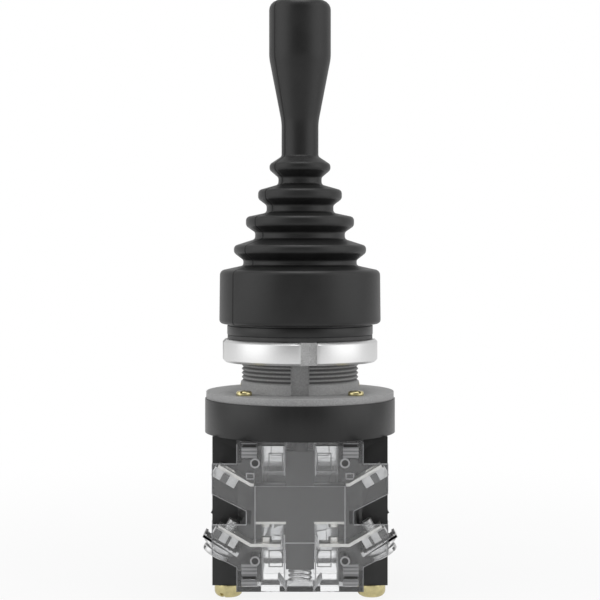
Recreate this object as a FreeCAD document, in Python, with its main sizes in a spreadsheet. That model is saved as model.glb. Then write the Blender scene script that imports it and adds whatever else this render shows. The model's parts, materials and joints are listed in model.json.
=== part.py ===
import FreeCAD, Part
import math
import os
import re
import Sketcher

# A four-way joystick switch for a 30 mm panel hole, in millimetres.
# The origin is the centre of the panel seat, under the gasket. +Z runs up the lever and the front faces -Y.

# Each driving size: alias, value, what it is
driving = [
    ("neck_radius", 15.0, "smooth neck, for a 30 mm panel hole"),
    ("neck_bore", 12.5, "radius of the passage through the neck"),
    ("thread_crest", 14.85, "radius of the thread crests"),
    ("thread_root", 14.3, "radius of the thread roots"),
    ("thread_pitch", 1.05, "one thread to the next"),
    ("thread_end", 10.2, "depth where the thread stops, under the seat"),
    ("keyway_width", 4.3, "slot down the front of the neck"),
    ("keyway_depth", 1.3, "how deep the slot goes into the neck"),
    ("flange_top", 13.2, "depth of the flange's upper face, under the seat"),
    ("flange_thick", 1.8, "flange plate"),
    ("flange_inset", 0.3, "flange edge inside the base disc's edge"),
    ("nut_radius", 19.65, "panel nut"),
    ("nut_high", 5.7, "panel nut"),
    ("nut_edge", 0.64, "chamfer of the panel nut"),
    ("nut_slot", 4.1, "width of the nut's spanner slots"),
    ("nut_slot_deep", 1.4, "depth of the nut's spanner slots"),
    ("nut_gap", 0.08, "nut bore to neck"),
    ("gasket_high", 1.15, "panel gasket"),
    ("gasket_radius", 18.4, "panel gasket"),
    ("bezel_high", 2.35, "ring between gasket and boot"),
    ("bezel_radius", 18.5, "ring between gasket and boot"),
    ("collar_radius", 20.55, "boot collar"),
    ("collar_bottom", 3.8, "underside of the collar"),
    ("collar_top", 17.5, "shoulder of the collar"),
    ("collar_wall", 2.2, "rubber wall of the collar"),
    ("collar_roof", 1.5, "rubber over the head housing"),
    ("collar_round", 1.5, "rounding of the collar's shoulder"),
    ("rubber_wall", 1.3, "wall of the bellows"),
    ("ring_a", 7.75, "radius of the top bellows ring"),
    ("ring_b", 10.65, "radius of the second ring"),
    ("ring_c", 13.75, "radius of the third ring"),
    ("ring_d", 16.8, "radius of the lowest ring"),
    ("valley_a", 5.5, "valley under the top ring"),
    ("valley_b", 8.5, "valley under the second ring"),
    ("valley_c", 11.45, "valley under the third ring"),
    ("valley_d", 14.45, "valley under the lowest ring"),
    ("ring_first", 22.5, "height of the lowest ring's rim"),
    ("ring_step", 6.97, "from one ring to the next"),
    ("rim_half", 1.1, "half height of a ring's rim"),
    ("rim_under", 2.3, "from the rim down to the valley's wall"),
    ("rim_over", 2.6, "from the rim up to the next wall"),
    ("grip_base", 47.5, "where the grip meets the bellows"),
    ("grip_neck", 4.7, "radius of the grip's neck"),
    ("grip_taper", 55.6, "height where the grip starts to widen"),
    ("grip_wide", 71.6, "height where the grip is at full width"),
    ("grip_radius", 7.88, "grip at its top"),
    ("grip_top", 86.0, "top of the grip"),
    ("grip_round", 2.2, "rounding of the grip's top"),
    ("lever_radius", 3.0, "steel core of the lever"),
    ("lever_end", 79.0, "top of the steel core"),
    ("pivot_height", 9.0, "tilt axes, above the seat"),
    ("head_radius", 18.25, "head housing"),
    ("head_bore", 15.0, "room in the head housing"),
    ("head_floor", 1.4, "ring under the head housing"),
    ("spider_half", 2.9, "half width of the cross block"),
    ("pin_radius", 1.45, "tilt pins"),
    ("pin_play", 0.05, "pin to bore, in radius"),
    ("ear_gap", 0.3, "ear to cross block"),
    ("ear_thick", 2.8, "yoke ears"),
    ("ear_half", 2.2, "half width of an ear"),
    ("base_ear_top", 2.5, "base ears above the pivot"),
    ("yoke_plate", 4.0, "thickness of the base yoke"),
    ("yoke_top", 2.0, "top of the base yoke, above the seat"),
    ("seat_play", 0.05, "base yoke to neck bore"),
    ("bell_bore", 7.7, "room inside the wobble plate"),
    ("bell_rim", 12.2, "wobble plate"),
    ("bell_lip", 1.5, "rim of the wobble plate"),
    ("bell_roof", 6.2, "underside of the crown, above the pivot"),
    ("bell_crown", 2.3, "thickness of the crown"),
    ("hub_radius", 5.0, "hub round the lever"),
    ("hub_high", 4.5, "hub over the crown"),
    ("push_circle", 9.5, "pusher rods, from the axis"),
    ("push_radius", 1.8, "pusher rods"),
    ("push_gap", 0.4, "rod tip to wobble plate"),
    ("guide_play", 0.15, "pusher rod to guide bore"),
    ("arm_half", 2.3, "half width of a pusher arm"),
    ("arm_top", 17.5, "top of the arms, under the seat"),
    ("arm_thick", 2.4, "pusher arms"),
    ("arm_play", 0.4, "arm to slot"),
    ("disc_radius", 24.1, "black base disc"),
    ("disc_thick", 8.5, "black base disc"),
    ("disc_floor", 1.1, "floor under the pusher slots"),
    ("stem_radius", 2.0, "plunger stem"),
    ("stem_play", 0.3, "plunger stem to its hole"),
    ("block_width", 43.2, "across the two side housings"),
    ("block_gap", 18.8, "open space between the side housings"),
    ("block_deep", 24.8, "side housings, front to rear"),
    ("block_high", 36.6, "side housings"),
    ("block_wall", 2.0, "outer wall of a side housing"),
    ("block_floor", 1.4, "floor and roof of a side housing"),
    ("cavity_half", 6.9, "half depth of a side housing's room"),
    ("lid_thick", 1.2, "inner lid of a side housing"),
    ("lid_lap", 1.4, "lid past the room, all round"),
    ("unit_deep", 9.6, "clear contact unit, front to rear"),
    ("unit_half", 15.3, "half width of a clear unit"),
    ("unit_waist", 13.0, "half width at the waist"),
    ("unit_bottom", 59.6, "underside of a clear unit, under the seat"),
    ("wing_half", 21.2, "half width across the wings"),
    ("wing_first", 28.9, "top of the upper wings, under the seat"),
    ("wing_side", 7.2, "straight side of a wing"),
    ("wing_slant", 4.1, "fall of the slanted edge"),
    ("wing_pitch", 14.6, "upper wing to lower wing"),
    ("clear_wall", 1.2, "walls of the clear moulding"),
    ("window_in", 4.0, "inner edge of the see-through windows"),
    ("window_out", 9.0, "outer edge of the see-through windows"),
    ("bar_half", 3.4, "half width of the plunger"),
    ("bar_thick", 4.8, "plunger, front to rear"),
    ("bar_top", 26.1, "top of the plunger, under the seat"),
    ("bar_bottom", 54.6, "bottom of the plunger, under the seat"),
    ("body_half", 10.7, "half width of the plunger's body"),
    ("body_top", 34.4, "top of the plunger's body"),
    ("bridge_top", 43.1, "top of the moving bridge"),
    ("strip_thick", 0.8, "contact strips and bridges"),
    ("bridge_wide", 3.0, "moving bridge"),
    ("rivet_radius", 1.2, "contact rivets and pads"),
    ("rivet_high", 0.8, "moving contact rivets"),
    ("contact_half", 8.1, "contacts, from the middle"),
    ("contact_gap", 2.4, "open contacts"),
    ("pad_high", 1.3, "fixed contact pads"),
    ("strip_wide", 5.2, "fixed contact strips"),
    ("strip_inner", 4.6, "inner end of a strip, from the middle"),
    ("strip_bend", 11.9, "bend of a strip, from the middle"),
    ("strip_tail", 9.0, "tilted end of a strip"),
    ("terminal_tilt", 30.0, "tilt of the terminals, in degrees"),
    ("terminal_at", 6.3, "screw, from the bend along the strip"),
    ("nut_plate", 6.4, "threaded terminal plate"),
    ("nut_plate_thick", 2.4, "threaded terminal plate"),
    ("thread_hole", 1.5, "tapped hole for a terminal screw"),
    ("strip_hole", 1.8, "clearance hole in a strip"),
    ("shank_play", 0.05, "screw shank to tapped hole"),
    ("shank_tip", 2.9, "screw tip past the strip"),
    ("clamp_long", 9.6, "wire clamp plate"),
    ("clamp_wide", 6.6, "wire clamp plate"),
    ("clamp_thick", 0.7, "wire clamp plate"),
    ("clamp_open", 0.5, "wire gap, plate to plate"),
    ("washer_radius", 4.2, "terminal washer"),
    ("washer_wide", 3.35, "half width of the washer between the walls"),
    ("head_wide", 3.4, "radius of a terminal screw's head"),
    ("head_high", 2.2, "terminal screw's head"),
    ("spring_radius", 2.6, "return spring, to the middle of its wire"),
    ("spring_wire", 0.28, "radius of the spring wire"),
    ("spring_turns", 3.0, "turns of a return spring"),
    ("press_radius", 1.3, "contact spring, to the middle of its wire"),
    ("press_wire", 0.22, "radius of the contact spring's wire"),
    ("press_turns", 4.0, "turns of a contact spring"),
    ("press_high", 4.6, "contact spring"),
    ("side_at", 15.6, "plungers of the side housings, from the axis"),
    ("side_bar_half", 2.2, "half width of a side plunger"),
    ("side_body_half", 6.2, "half width of a side plunger's body"),
    ("side_bar_bottom", 53.0, "bottom of a side plunger, under the seat"),
    ("side_contact", 4.8, "contacts in a side housing, from its middle"),
    ("side_strip_in", 2.8, "inner edge of a side strip"),
    ("side_strip_out", 6.8, "outer edge of a side strip"),
    ("side_screw_down", 4.4, "side terminal screw, under the strip"),
    ("side_screw", 1.2, "side terminal screw's shank"),
    ("side_shank", 3.0, "side terminal screw, past its plate"),
    ("side_head", 1.95, "side terminal screw's head"),
    ("side_head_high", 1.6, "side terminal screw's head"),
    ("side_inset", 1.6, "side terminal plate, in from the wall"),
    ("long_screw", 1.45, "long housing screws"),
    ("long_head", 3.5, "head of a long housing screw"),
    ("long_head_high", 3.2, "head of a long housing screw"),
    ("long_x", 17.7, "long housing screws, from the axis in X"),
    ("long_y", 9.4, "long housing screws, from the axis in Y"),
    ("long_into", 4.5, "long screw's hold in the base disc"),
    ("screw_play", 0.15, "screw shank to clearance hole"),
    ("flange_screw", 1.1, "flange screws"),
    ("flange_head", 1.95, "head of a flange screw"),
    ("flange_head_high", 1.1, "head of a flange screw"),
    ("flange_into", 5.0, "flange screw's hold in the base disc"),
    ("rivet_pin", 0.95, "pins through the clear units"),
    ("rivet_x", 10.8, "unit pins, from the middle"),
    ("rivet_up", 28.7, "upper unit pins, under the seat"),
    ("rivet_down", 52.2, "lower unit pins, under the seat"),
    ("rivet_into", 3.3, "unit pin's hold in a side housing"),
    ("cut_past", 1.0, "how far a cut runs past the face that it opens"),
]

doc = FreeCAD.newDocument("joystick")
sheet = doc.addObject("Spreadsheet::Sheet", "Sizes")
for row, (alias, value, note) in enumerate(driving, start=1):
    sheet.set(f"A{row}", alias)
    sheet.set(f"B{row}", str(value))
    sheet.setAlias(f"B{row}", alias)
    sheet.set(f"C{row}", note)
doc.recompute()
aliases = {alias for alias, value, note in driving}


def bound(text):
    # Points each size's name in an expression at its cell
    return re.sub(r"[a-z]+(?:_[a-z]+)*", lambda word: "Sizes." * (word[0] in aliases) + word[0], text)


def drive(piece, **cells):
    # Binds properties of a piece to expressions on the sizes
    for path, text in cells.items():
        piece.setExpression(path.replace("__", "."), bound(text))
    return piece


def new_name():
    return f"piece_{len(doc.Objects)}"


def box(low, high):
    piece = doc.addObject("Part::Box", new_name())
    for size, corner, start, end in zip(("Length", "Width", "Height"), "xyz", low, high):
        piece.setExpression(size, bound(f"({end}) - ({start})"))
        piece.setExpression(f"Placement.Base.{corner}", bound(start))
    return piece


turns = {
    "x": FreeCAD.Rotation(FreeCAD.Vector(0, 1, 0), 90),
    "y": FreeCAD.Rotation(FreeCAD.Vector(1, 0, 0), -90),
    "z": FreeCAD.Rotation(),
}


def rod(radius, start, end, at=("0", "0"), along="z"):
    # A cylinder from start to end on its axis; at holds its place on the other two axes, in X, Y, Z order
    piece = drive(doc.addObject("Part::Cylinder", new_name()), Radius=radius, Height=f"({end}) - ({start})")
    piece.Placement = FreeCAD.Placement(FreeCAD.Vector(), turns[along])
    others = [corner for corner in "xyz" if corner != along]
    piece.setExpression(f"Placement.Base.{along}", bound(start))
    for corner, place in zip(others, at):
        piece.setExpression(f"Placement.Base.{corner}", bound(place))
    return piece


def draw(body, plane, points, offset="0"):
    # A closed outline of straight lines, with each corner held from the origin
    sketch = body.newObject("Sketcher::SketchObject", f"{body.Name}_outline")
    flat = next(one for one in body.Origin.OriginFeatures if one.Role == plane)
    sketch.AttachmentSupport = (flat, [""])
    sketch.MapMode = "FlatFace"
    sketch.setExpression("AttachmentOffset.Base.z", bound(offset))
    count = len(points)
    first_try = 10
    circle = [2 * math.pi * (corner + 0.25) / count for corner in range(count)]
    corners = [FreeCAD.Vector(math.cos(turn), math.sin(turn), 0) * first_try for turn in circle]
    sketch.addGeometry([Part.LineSegment(corners[i], corners[(i + 1) % count]) for i in range(count)], False)
    for i, (across, up) in enumerate(points):
        sketch.addConstraint(Sketcher.Constraint("Coincident", i, 2, (i + 1) % count, 1))
        for kind, start, text in (("DistanceX", corners[i].x, across), ("DistanceY", corners[i].y, up)):
            index = sketch.addConstraint(Sketcher.Constraint(kind, -1, 1, i, 1, start))
            sketch.setExpression(f"Constraints[{index}]", bound(text))
    return sketch


def turned(points):
    # A piece turned about Z, from (radius, height) corners
    body = doc.addObject("PartDesign::Body", new_name())
    sketch = draw(body, "XZ_Plane", points)
    spin = body.newObject("PartDesign::Revolution", f"{body.Name}_turn")
    spin.Profile = sketch
    spin.ReferenceAxis = (sketch, ["V_Axis"])
    spin.Angle = 360
    return body


def prism(points, start, end):
    # A straight piece from an outline seen from the front, between two places in Y
    body = doc.addObject("PartDesign::Body", new_name())
    sketch = draw(body, "XZ_Plane", points, f"-({end})")
    pad = body.newObject("PartDesign::Pad", f"{body.Name}_pad")
    pad.Profile = sketch
    pad.setExpression("Length", bound(f"({end}) - ({start})"))
    return body


def soften(body, radius, circle, height):
    # Rounds the round edge of that radius at that height
    doc.recompute()
    feature = body.Tip
    edges = []
    for number, edge in enumerate(feature.Shape.Edges, start=1):
        centre = getattr(edge.Curve, "Center", None)
        if centre and abs(edge.Curve.Radius - circle) < 0.001 and abs(centre.z - height) < 0.001:
            edges.append(f"Edge{number}")
    fillet = body.newObject("PartDesign::Fillet", f"{body.Name}_round")
    fillet.Base = (feature, edges)
    fillet.setExpression("Radius", bound(radius))
    return body


def fuse(*pieces):
    whole = doc.addObject("Part::MultiFuse", new_name())
    whole.Shapes = list(pieces)
    whole.Refine = True
    return whole


def group(*pieces):
    # Separate solids of one node
    whole = doc.addObject("Part::Compound", new_name())
    whole.Links = list(pieces)
    return whole


def cut(base, *tools):
    whole = doc.addObject("Part::Cut", new_name())
    whole.Base = base
    whole.Tool = tools[0] if len(tools) == 1 else fuse(*tools)
    return whole


def coil(radius, wire, low, high, loops, at=("0", "0")):
    # A spring: a round wire swept along a helix
    helix = drive(doc.addObject("Part::Helix", new_name()), Radius=radius,
                  Height=f"({high}) - ({low})", Pitch=f"(({high}) - ({low})) / ({loops})",
                  Placement__Base__x=at[0], Placement__Base__y=at[1], Placement__Base__z=low)
    helix.SegmentLength = 0.5  # a new stretch of the path each half turn, which keeps the surface simple
    circle = drive(doc.addObject("Part::Circle", new_name()), Radius=wire)
    circle.Placement = FreeCAD.Placement(FreeCAD.Vector(), FreeCAD.Rotation(FreeCAD.Vector(1, 0, 0), 90))
    drive(circle, Placement__Base__x=f"({at[0]}) + {radius}", Placement__Base__y=at[1],
          Placement__Base__z=low)
    sweep = doc.addObject("Part::Sweep", new_name())
    sweep.Sections = [circle]
    sweep.Spine = (helix, [])
    sweep.Solid = True
    sweep.Frenet = True
    return sweep


nodes = []


def finish(piece, node, angle=0):
    # Names a finished piece and turns it about Z to its side of the switch
    piece.Label = node
    if angle:
        piece.Placement.Rotation = FreeCAD.Rotation(FreeCAD.Vector(0, 0, 1), angle)
    nodes.append(piece)


# Heights and places worked out from the sizes
seat_stack = "gasket_high + bezel_high"
flange_low = "-flange_top - flange_thick"
disc_low = "-flange_top - flange_thick - disc_thick"
head_top = "collar_top - collar_roof"
ear_in = "spider_half + ear_gap"
ear_out = "spider_half + ear_gap + ear_thick"
crown_low = "pivot_height + bell_roof"
crown_top = "pivot_height + bell_roof + bell_crown"
arm_low = "-arm_top - arm_thick"
flange_edge = "disc_radius - flange_inset"
flange_circle = f"(neck_radius + {flange_edge}) / 2"
side_low = f"{disc_low} - block_high"
unit_back = "-block_deep / 2"
unit_front = "-block_deep / 2 - unit_deep"
unit_mid = "-block_deep / 2 - unit_deep / 2"
bridge_low = "-bridge_top - strip_thick"
pad_top = f"{bridge_low} - rivet_high - contact_gap"
strip_mid = f"{pad_top} - pad_high - strip_thick / 2"
nut_turn = 6.4
thread_count = int(sheet.thread_end / sheet.thread_pitch)
ring_count = int((sheet.grip_base - sheet.ring_first - sheet.rim_over) / sheet.ring_step) + 1


def grip_and_lever():
    grip = turned([
        ("lever_radius", "grip_base"), ("grip_neck", "grip_base"), ("grip_neck", "grip_taper"),
        ("grip_radius", "grip_wide"), ("grip_radius", "grip_top"), ("0", "grip_top"),
        ("0", "lever_end"), ("lever_radius", "lever_end"),
    ])
    top_round = "min(grip_round; (grip_top - grip_wide) / 2)"
    finish(soften(grip, top_round, sheet.grip_radius, sheet.grip_top), "grip_sleeve")
    finish(turned([("0", crown_low), ("lever_radius", crown_low), ("lever_radius", "lever_end"),
                   ("0", "lever_end")]), "lever_rod")
    hub_top = f"{crown_top} + hub_high"
    bell = turned([
        ("bell_bore", "pivot_height"), ("bell_rim", "pivot_height"), ("bell_rim", "pivot_height + bell_lip"),
        ("bell_bore + bell_lip", crown_top), ("hub_radius", crown_top), ("hub_radius", hub_top),
        ("lever_radius", hub_top), ("lever_radius", crown_low), ("bell_bore", crown_low),
    ])
    ears = [box(("-ear_half", low, "pivot_height - base_ear_top"), ("ear_half", high, crown_low))
            for low, high in ((ear_in, ear_out), (f"-({ear_out})", f"-({ear_in})"))]
    bore = rod("pin_radius + pin_play", f"-({ear_out}) - ear_gap", f"{ear_out} + ear_gap",
               ("0", "pivot_height"), "y")
    finish(cut(fuse(bell, *ears), bore), "wobble_plate")


def pivot():
    cross = box(("-spider_half", "-spider_half", "pivot_height - spider_half"),
                ("spider_half", "spider_half", "pivot_height + spider_half"))
    holes = [rod("pin_radius", "-spider_half - ear_gap", "spider_half + ear_gap",
                 ("0", "pivot_height"), along) for along in "xy"]
    finish(cut(cross, *holes), "pivot_cross")
    finish(group(rod("pin_radius", f"-({ear_out})", ear_out, ("0", "pivot_height"), "y")), "lever_pivot_pin")
    finish(group(*[rod("pin_radius", low, high, ("0", "pivot_height"), "x") for low, high in (
        ("pin_radius + pin_play", ear_out), (f"-({ear_out})", "-pin_radius - pin_play"))]), "base_pivot_pins")
    plate = rod("neck_bore - seat_play", "yoke_top - yoke_plate", "yoke_top")
    ears = [box((low, "-ear_half", "yoke_top"), (high, "ear_half", "pivot_height + base_ear_top"))
            for low, high in ((ear_in, ear_out), (f"-({ear_out})", f"-({ear_in})"))]
    bore = rod("pin_radius + pin_play", f"-({ear_out}) - ear_gap", f"{ear_out} + ear_gap",
               ("0", "pivot_height"), "x")
    guides = [rod("push_radius + guide_play", "yoke_top - yoke_plate - cut_past", "yoke_top + cut_past", at)
              for at in (("push_circle", "0"), ("-push_circle", "0"), ("0", "push_circle"),
                         ("0", "-push_circle"))]
    finish(cut(fuse(plate, *ears), bore, *guides), "pivot_base")


def boot():
    inner = "collar_radius - collar_wall"
    throat = "valley_d - rubber_wall"
    collar = turned([(inner, "collar_bottom"), ("collar_radius", "collar_bottom"),
                     ("collar_radius", "collar_top"), (throat, "collar_top"), (throat, head_top),
                     (inner, head_top)])
    finish(soften(collar, "collar_round", sheet.collar_radius, sheet.collar_top), "boot_collar")
    outside = [("valley_d", "collar_top")]
    inside = [("valley_d - rubber_wall", "collar_top")]
    rings = ["ring_d", "ring_c", "ring_b", "ring_a"][:ring_count]
    valleys = ["valley_d", "valley_c", "valley_b", "valley_a"][:ring_count] + ["grip_neck"]
    for step, ring in enumerate(rings):
        rim = f"ring_first + {step} * ring_step"
        below, above = valleys[step], valleys[step + 1]
        outside += [(below, f"{rim} - rim_under"), (f"{ring} - rim_half / 2", f"{rim} - rim_half"),
                    (ring, rim), (f"{ring} - rim_half / 2", f"{rim} + rim_half"),
                    (above, f"{rim} + rim_over")]
        inside += [(f"{below} - rubber_wall", f"{rim} - rim_under + rim_half / 2"),
                   (f"{ring} - rubber_wall", f"{rim} - rim_half / 4"),
                   (f"{ring} - rubber_wall", f"{rim} + rim_half / 4"),
                   (f"{above} - rubber_wall", f"{rim} + rim_half")]
    top = "grip_base - seat_play"
    outside.append(("grip_neck", top))
    inside.append(("grip_neck - rubber_wall", top))
    finish(turned(outside + inside[::-1]), "bellows")


def head_and_neck():
    finish(turned([("neck_bore", seat_stack), ("head_radius", seat_stack), ("head_radius", head_top),
                   ("head_bore", head_top), ("head_bore", f"{seat_stack} + head_floor"),
                   ("neck_bore", f"{seat_stack} + head_floor")]), "head_housing")
    around = "neck_radius + nut_gap"
    finish(turned([(around, "gasket_high"), ("bezel_radius", "gasket_high"), ("bezel_radius", seat_stack),
                   (around, seat_stack)]), "bezel_ring")
    finish(turned([(around, "0"), ("gasket_radius", "0"), ("gasket_radius", "gasket_high"),
                   (around, "gasket_high")]), "panel_gasket")
    nut = turned([
        (around, "-nut_high"), ("nut_radius - nut_edge", "-nut_high"), ("nut_radius", "-nut_high + nut_edge"),
        ("nut_radius", "-nut_edge"), ("nut_radius - nut_edge", "0"), (around, "0"),
    ])
    slots = []
    for quarter in range(4):
        slot = box(("-nut_slot / 2", "-nut_radius - cut_past", "-nut_high - cut_past"),
                   ("nut_slot / 2", "-nut_radius + nut_slot_deep", "cut_past"))
        turner = group(slot)
        turner.Placement.Rotation = FreeCAD.Rotation(FreeCAD.Vector(0, 0, 1), nut_turn + 90 * quarter)
        slots.append(turner)
    finish(cut(nut, *slots), "panel_nut")

    ledge = "yoke_top - yoke_plate"
    thread = []
    for turn in range(thread_count):
        thread += [("thread_root", f"-thread_end + {turn} * thread_pitch"),
                   ("thread_crest", f"-thread_end + {turn + 0.5} * thread_pitch")]
    neck = turned([
        ("push_circle + push_radius + stem_play", flange_low), (flange_edge, flange_low),
        (flange_edge, "-flange_top"), ("neck_radius", "-flange_top"),
        ("neck_radius", "-thread_end - thread_pitch / 2"), *thread,
        ("thread_root", "0"), ("thread_root", seat_stack), ("neck_bore", seat_stack), ("neck_bore", ledge),
        ("push_circle + push_radius + stem_play", ledge),
    ])
    key = box(("-keyway_width / 2", "-neck_radius - cut_past", "-flange_top"),
              ("keyway_width / 2", "-neck_radius + keyway_depth", "0"))
    finish(cut(neck, key, *flange_holes("flange_screw + screw_play", flange_low)), "neck_bush")
    shanks = flange_holes("flange_screw", f"{flange_low} - flange_into", "-flange_top")
    heads = flange_holes("flange_head", "-flange_top", "-flange_top + flange_head_high")
    finish(group(*[fuse(head, shank) for head, shank in zip(heads, shanks)]), "flange_screws")


def flange_holes(radius, low, high="0"):
    # One rod at each flange screw, midway between the neck and the flange's edge
    at = f"{flange_circle} / sqrt(2)"
    return [rod(radius, low, high, (f"{x} * {at}", f"{y} * {at}")) for x in (1, -1) for y in (1, -1)]


def long_holes(radius, low, high, sides=(1, -1)):
    # One rod at each long housing screw
    return [rod(radius, low, high, (f"{x} * long_x", f"{y} * long_y")) for x in sides for y in (1, -1)]


def disc_and_pushers():
    disc = rod("disc_radius", disc_low, flange_low)
    reach = f"-({unit_mid}) + arm_half + arm_play"
    half = "arm_half + arm_play"
    floor = f"{disc_low} + disc_floor"
    slots = [box((f"-({half})", f"-({reach})", floor), (half, reach, f"{flange_low} + cut_past")),
             box((f"-({reach})", f"-({half})", floor), (reach, half, f"{flange_low} + cut_past"))]
    places = [("0", unit_mid), ("0", f"-({unit_mid})"), ("side_at", "0"), ("-side_at", "0")]
    stems = [rod("stem_radius + stem_play", f"{disc_low} - cut_past", f"{floor} + cut_past", at)
             for at in places]
    flange = flange_holes("flange_screw", f"{flange_low} - flange_into", f"{flange_low} + cut_past")
    long = long_holes("long_screw", f"{disc_low} - cut_past", f"{disc_low} + long_into")
    finish(cut(disc, *slots, *stems, *flange, *long), "base_disc")
    shanks = long_holes("long_screw", side_low, f"{disc_low} + long_into")
    heads = long_holes("long_head", f"{side_low} - long_head_high", side_low)
    finish(group(*[fuse(head, shank) for head, shank in zip(heads, shanks)]), "housing_screws")
    tip = "pivot_height - push_gap - push_radius"
    for name, angle in (("front", 0), ("right", 90), ("rear", 180), ("left", 270)):
        at = ("0", "-push_circle")
        dome = drive(doc.addObject("Part::Sphere", new_name()), Radius="push_radius",
                     Placement__Base__y="-push_circle", Placement__Base__z=tip)
        arm = box(("-arm_half", f"{unit_mid} - arm_half", arm_low),
                  ("arm_half", "-push_circle + push_radius", "-arm_top"))
        finish(fuse(rod("push_radius", "-arm_top - arm_thick / 2", tip, at), dome, arm),
               f"{name}_pusher", angle)


def side_unit(name, angle):
    # The black contact unit on +X, turned to its side
    inside = "block_gap / 2"
    outside = "block_width / 2"
    wall = f"{outside} - block_wall"
    deep = "block_deep / 2"
    roof = f"{disc_low} - block_floor"
    floor = f"{side_low} + block_floor"
    shell = box((inside, f"-{deep}", side_low), (outside, deep, disc_low))
    room = box((f"{inside} - cut_past", "-cavity_half", floor), (wall, "cavity_half", roof))
    rebate = box((f"{inside} - cut_past", "-cavity_half - lid_lap", f"{floor} - lid_lap / 2"),
                 (f"{inside} + lid_thick", "cavity_half + lid_lap", f"{roof} + lid_lap / 2"))
    mouth = box(("side_at - bar_thick / 2 - arm_play", "-side_bar_half - arm_play", f"{roof} - cut_past"),
                ("side_at + bar_thick / 2 + arm_play", "side_bar_half + arm_play", f"{disc_low} + cut_past"))
    sill = f"{strip_mid} - side_screw_down - side_head - block_floor"
    windows = [box((f"{wall} - cut_past", low, sill),
                   (f"{outside} + cut_past", high, f"{strip_mid} - strip_thick / 2"))
               for low, high in (("side_strip_in - lid_thick", "cavity_half"),
                                 ("-cavity_half", "-side_strip_in + lid_thick"))]
    screws = long_holes("long_screw + screw_play", f"{side_low} - cut_past", f"{disc_low} + cut_past", (1,))
    pins = [rod("rivet_pin", low, high, ("rivet_x", f"-{level}"), "y")
            for low, high in ((f"-{deep} - cut_past", f"-{deep} + rivet_into"),
                              (f"{deep} - rivet_into", f"{deep} + cut_past"))
            for level in ("rivet_up", "rivet_down")]
    finish(cut(shell, room, rebate, mouth, *windows, *screws, *pins), f"{name}_housing", angle)
    finish(group(box((inside, "-cavity_half - lid_lap + seat_play", f"{floor} - lid_lap / 2 + seat_play"),
                     (f"{inside} + lid_thick", "cavity_half + lid_lap - seat_play",
                      f"{roof} + lid_lap / 2 - seat_play"))), f"{name}_lid", angle)

    half = "bar_thick / 2"
    slot_half = "bridge_wide / 2"
    stem = rod("stem_radius", "-bar_top", arm_low, ("side_at", "0"))
    bar = box((f"side_at - {half}", "-side_bar_half", "-side_bar_bottom"),
              (f"side_at + {half}", "side_bar_half", "-bar_top"))
    body = box((f"side_at - {half}", "-side_body_half", "-bridge_top"),
               (f"side_at + {half}", "side_body_half", "-body_top"))
    slot = box((f"side_at - {slot_half}", "-side_body_half - cut_past", f"{bridge_low} - seat_play"),
               (f"side_at + {slot_half}", "side_body_half + cut_past", "-bridge_top"))
    well = rod("press_radius + press_wire + screw_play", "-bridge_top - seat_play",
               "-bridge_top + press_high + seat_play", ("side_at", "0"))
    finish(cut(fuse(stem, bar, body), slot, well), f"{name}_plunger", angle)
    bridge = box((f"side_at - {slot_half}", "-side_body_half", bridge_low),
                 (f"side_at + {slot_half}", "side_body_half", "-bridge_top"))
    rivets = [rod("rivet_radius", f"{bridge_low} - rivet_high", bridge_low,
                  ("side_at", f"{y} * side_contact")) for y in (1, -1)]
    finish(group(bridge, *rivets), f"{name}_bridge", angle)

    strip_top = f"{strip_mid} + strip_thick / 2"
    strip_low = f"{strip_mid} - strip_thick / 2"
    plate_in = f"{wall} - side_inset - strip_thick"
    pieces = []
    screws = []
    for y in (1, -1):
        edges = ("side_strip_in", "side_strip_out") if y > 0 else ("-side_strip_out", "-side_strip_in")
        flat = box((f"side_at - {half} + strip_thick / 2", edges[0], strip_low),
                   (f"{plate_in} + strip_thick", edges[1], strip_top))
        upright = box((plate_in, edges[0], f"{strip_low} - side_screw_down - side_head"),
                      (f"{plate_in} + strip_thick", edges[1], strip_low))
        mid = (f"{y} * (side_strip_in + side_strip_out) / 2", f"{strip_low} - side_screw_down")
        bore = rod("side_screw", f"{plate_in} - cut_past", f"{plate_in} + strip_thick + cut_past", mid, "x")
        pieces.append(cut(fuse(flat, upright), bore))
        pieces.append(rod("rivet_radius", strip_top, f"{strip_top} + pad_high",
                          ("side_at", f"{y} * side_contact")))
        shank = rod("side_screw", f"{plate_in} - side_shank", f"{plate_in} + strip_thick", mid, "x")
        plate_out = f"{plate_in} + strip_thick"
        head = rod("side_head", plate_out, f"{plate_out} + side_head_high", mid, "x")
        screws.append(fuse(shank, head))
    finish(group(*pieces), f"{name}_contacts", angle)
    finish(group(*screws), f"{name}_terminal_screws", angle)
    at = ("-side_at" if angle else "side_at", "0")
    finish(coil("spring_radius", "spring_wire", f"{floor} + spring_wire + seat_play",
                "-side_bar_bottom - spring_wire - seat_play", "spring_turns", at),
           f"{name}_return_spring")
    finish(coil("press_radius", "press_wire", "-bridge_top + press_wire + seat_play",
                "-bridge_top + press_high - press_wire", "press_turns", at),
           f"{name}_contact_spring")


def slanted(piece, side, level, along, deep):
    # Puts a terminal piece on its tilted screw axis: along the strip, and deep towards the screw's tip
    tilt = "terminal_tilt"
    piece.Placement.Rotation = FreeCAD.Rotation(FreeCAD.Vector(0, -side, 0), sheet.terminal_tilt)
    drive(piece, Placement__Rotation__Angle=tilt,
          Placement__Base__x=f"{side} * (strip_bend + terminal_at * cos({tilt})) + ({along}) * cos({tilt})"
                             f" - {side} * sin({tilt}) * ({deep})",
          Placement__Base__z=f"{level} + terminal_at * sin({tilt}) + {side} * sin({tilt}) * ({along})"
                             f" + cos({tilt}) * ({deep})")
    return piece


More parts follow.
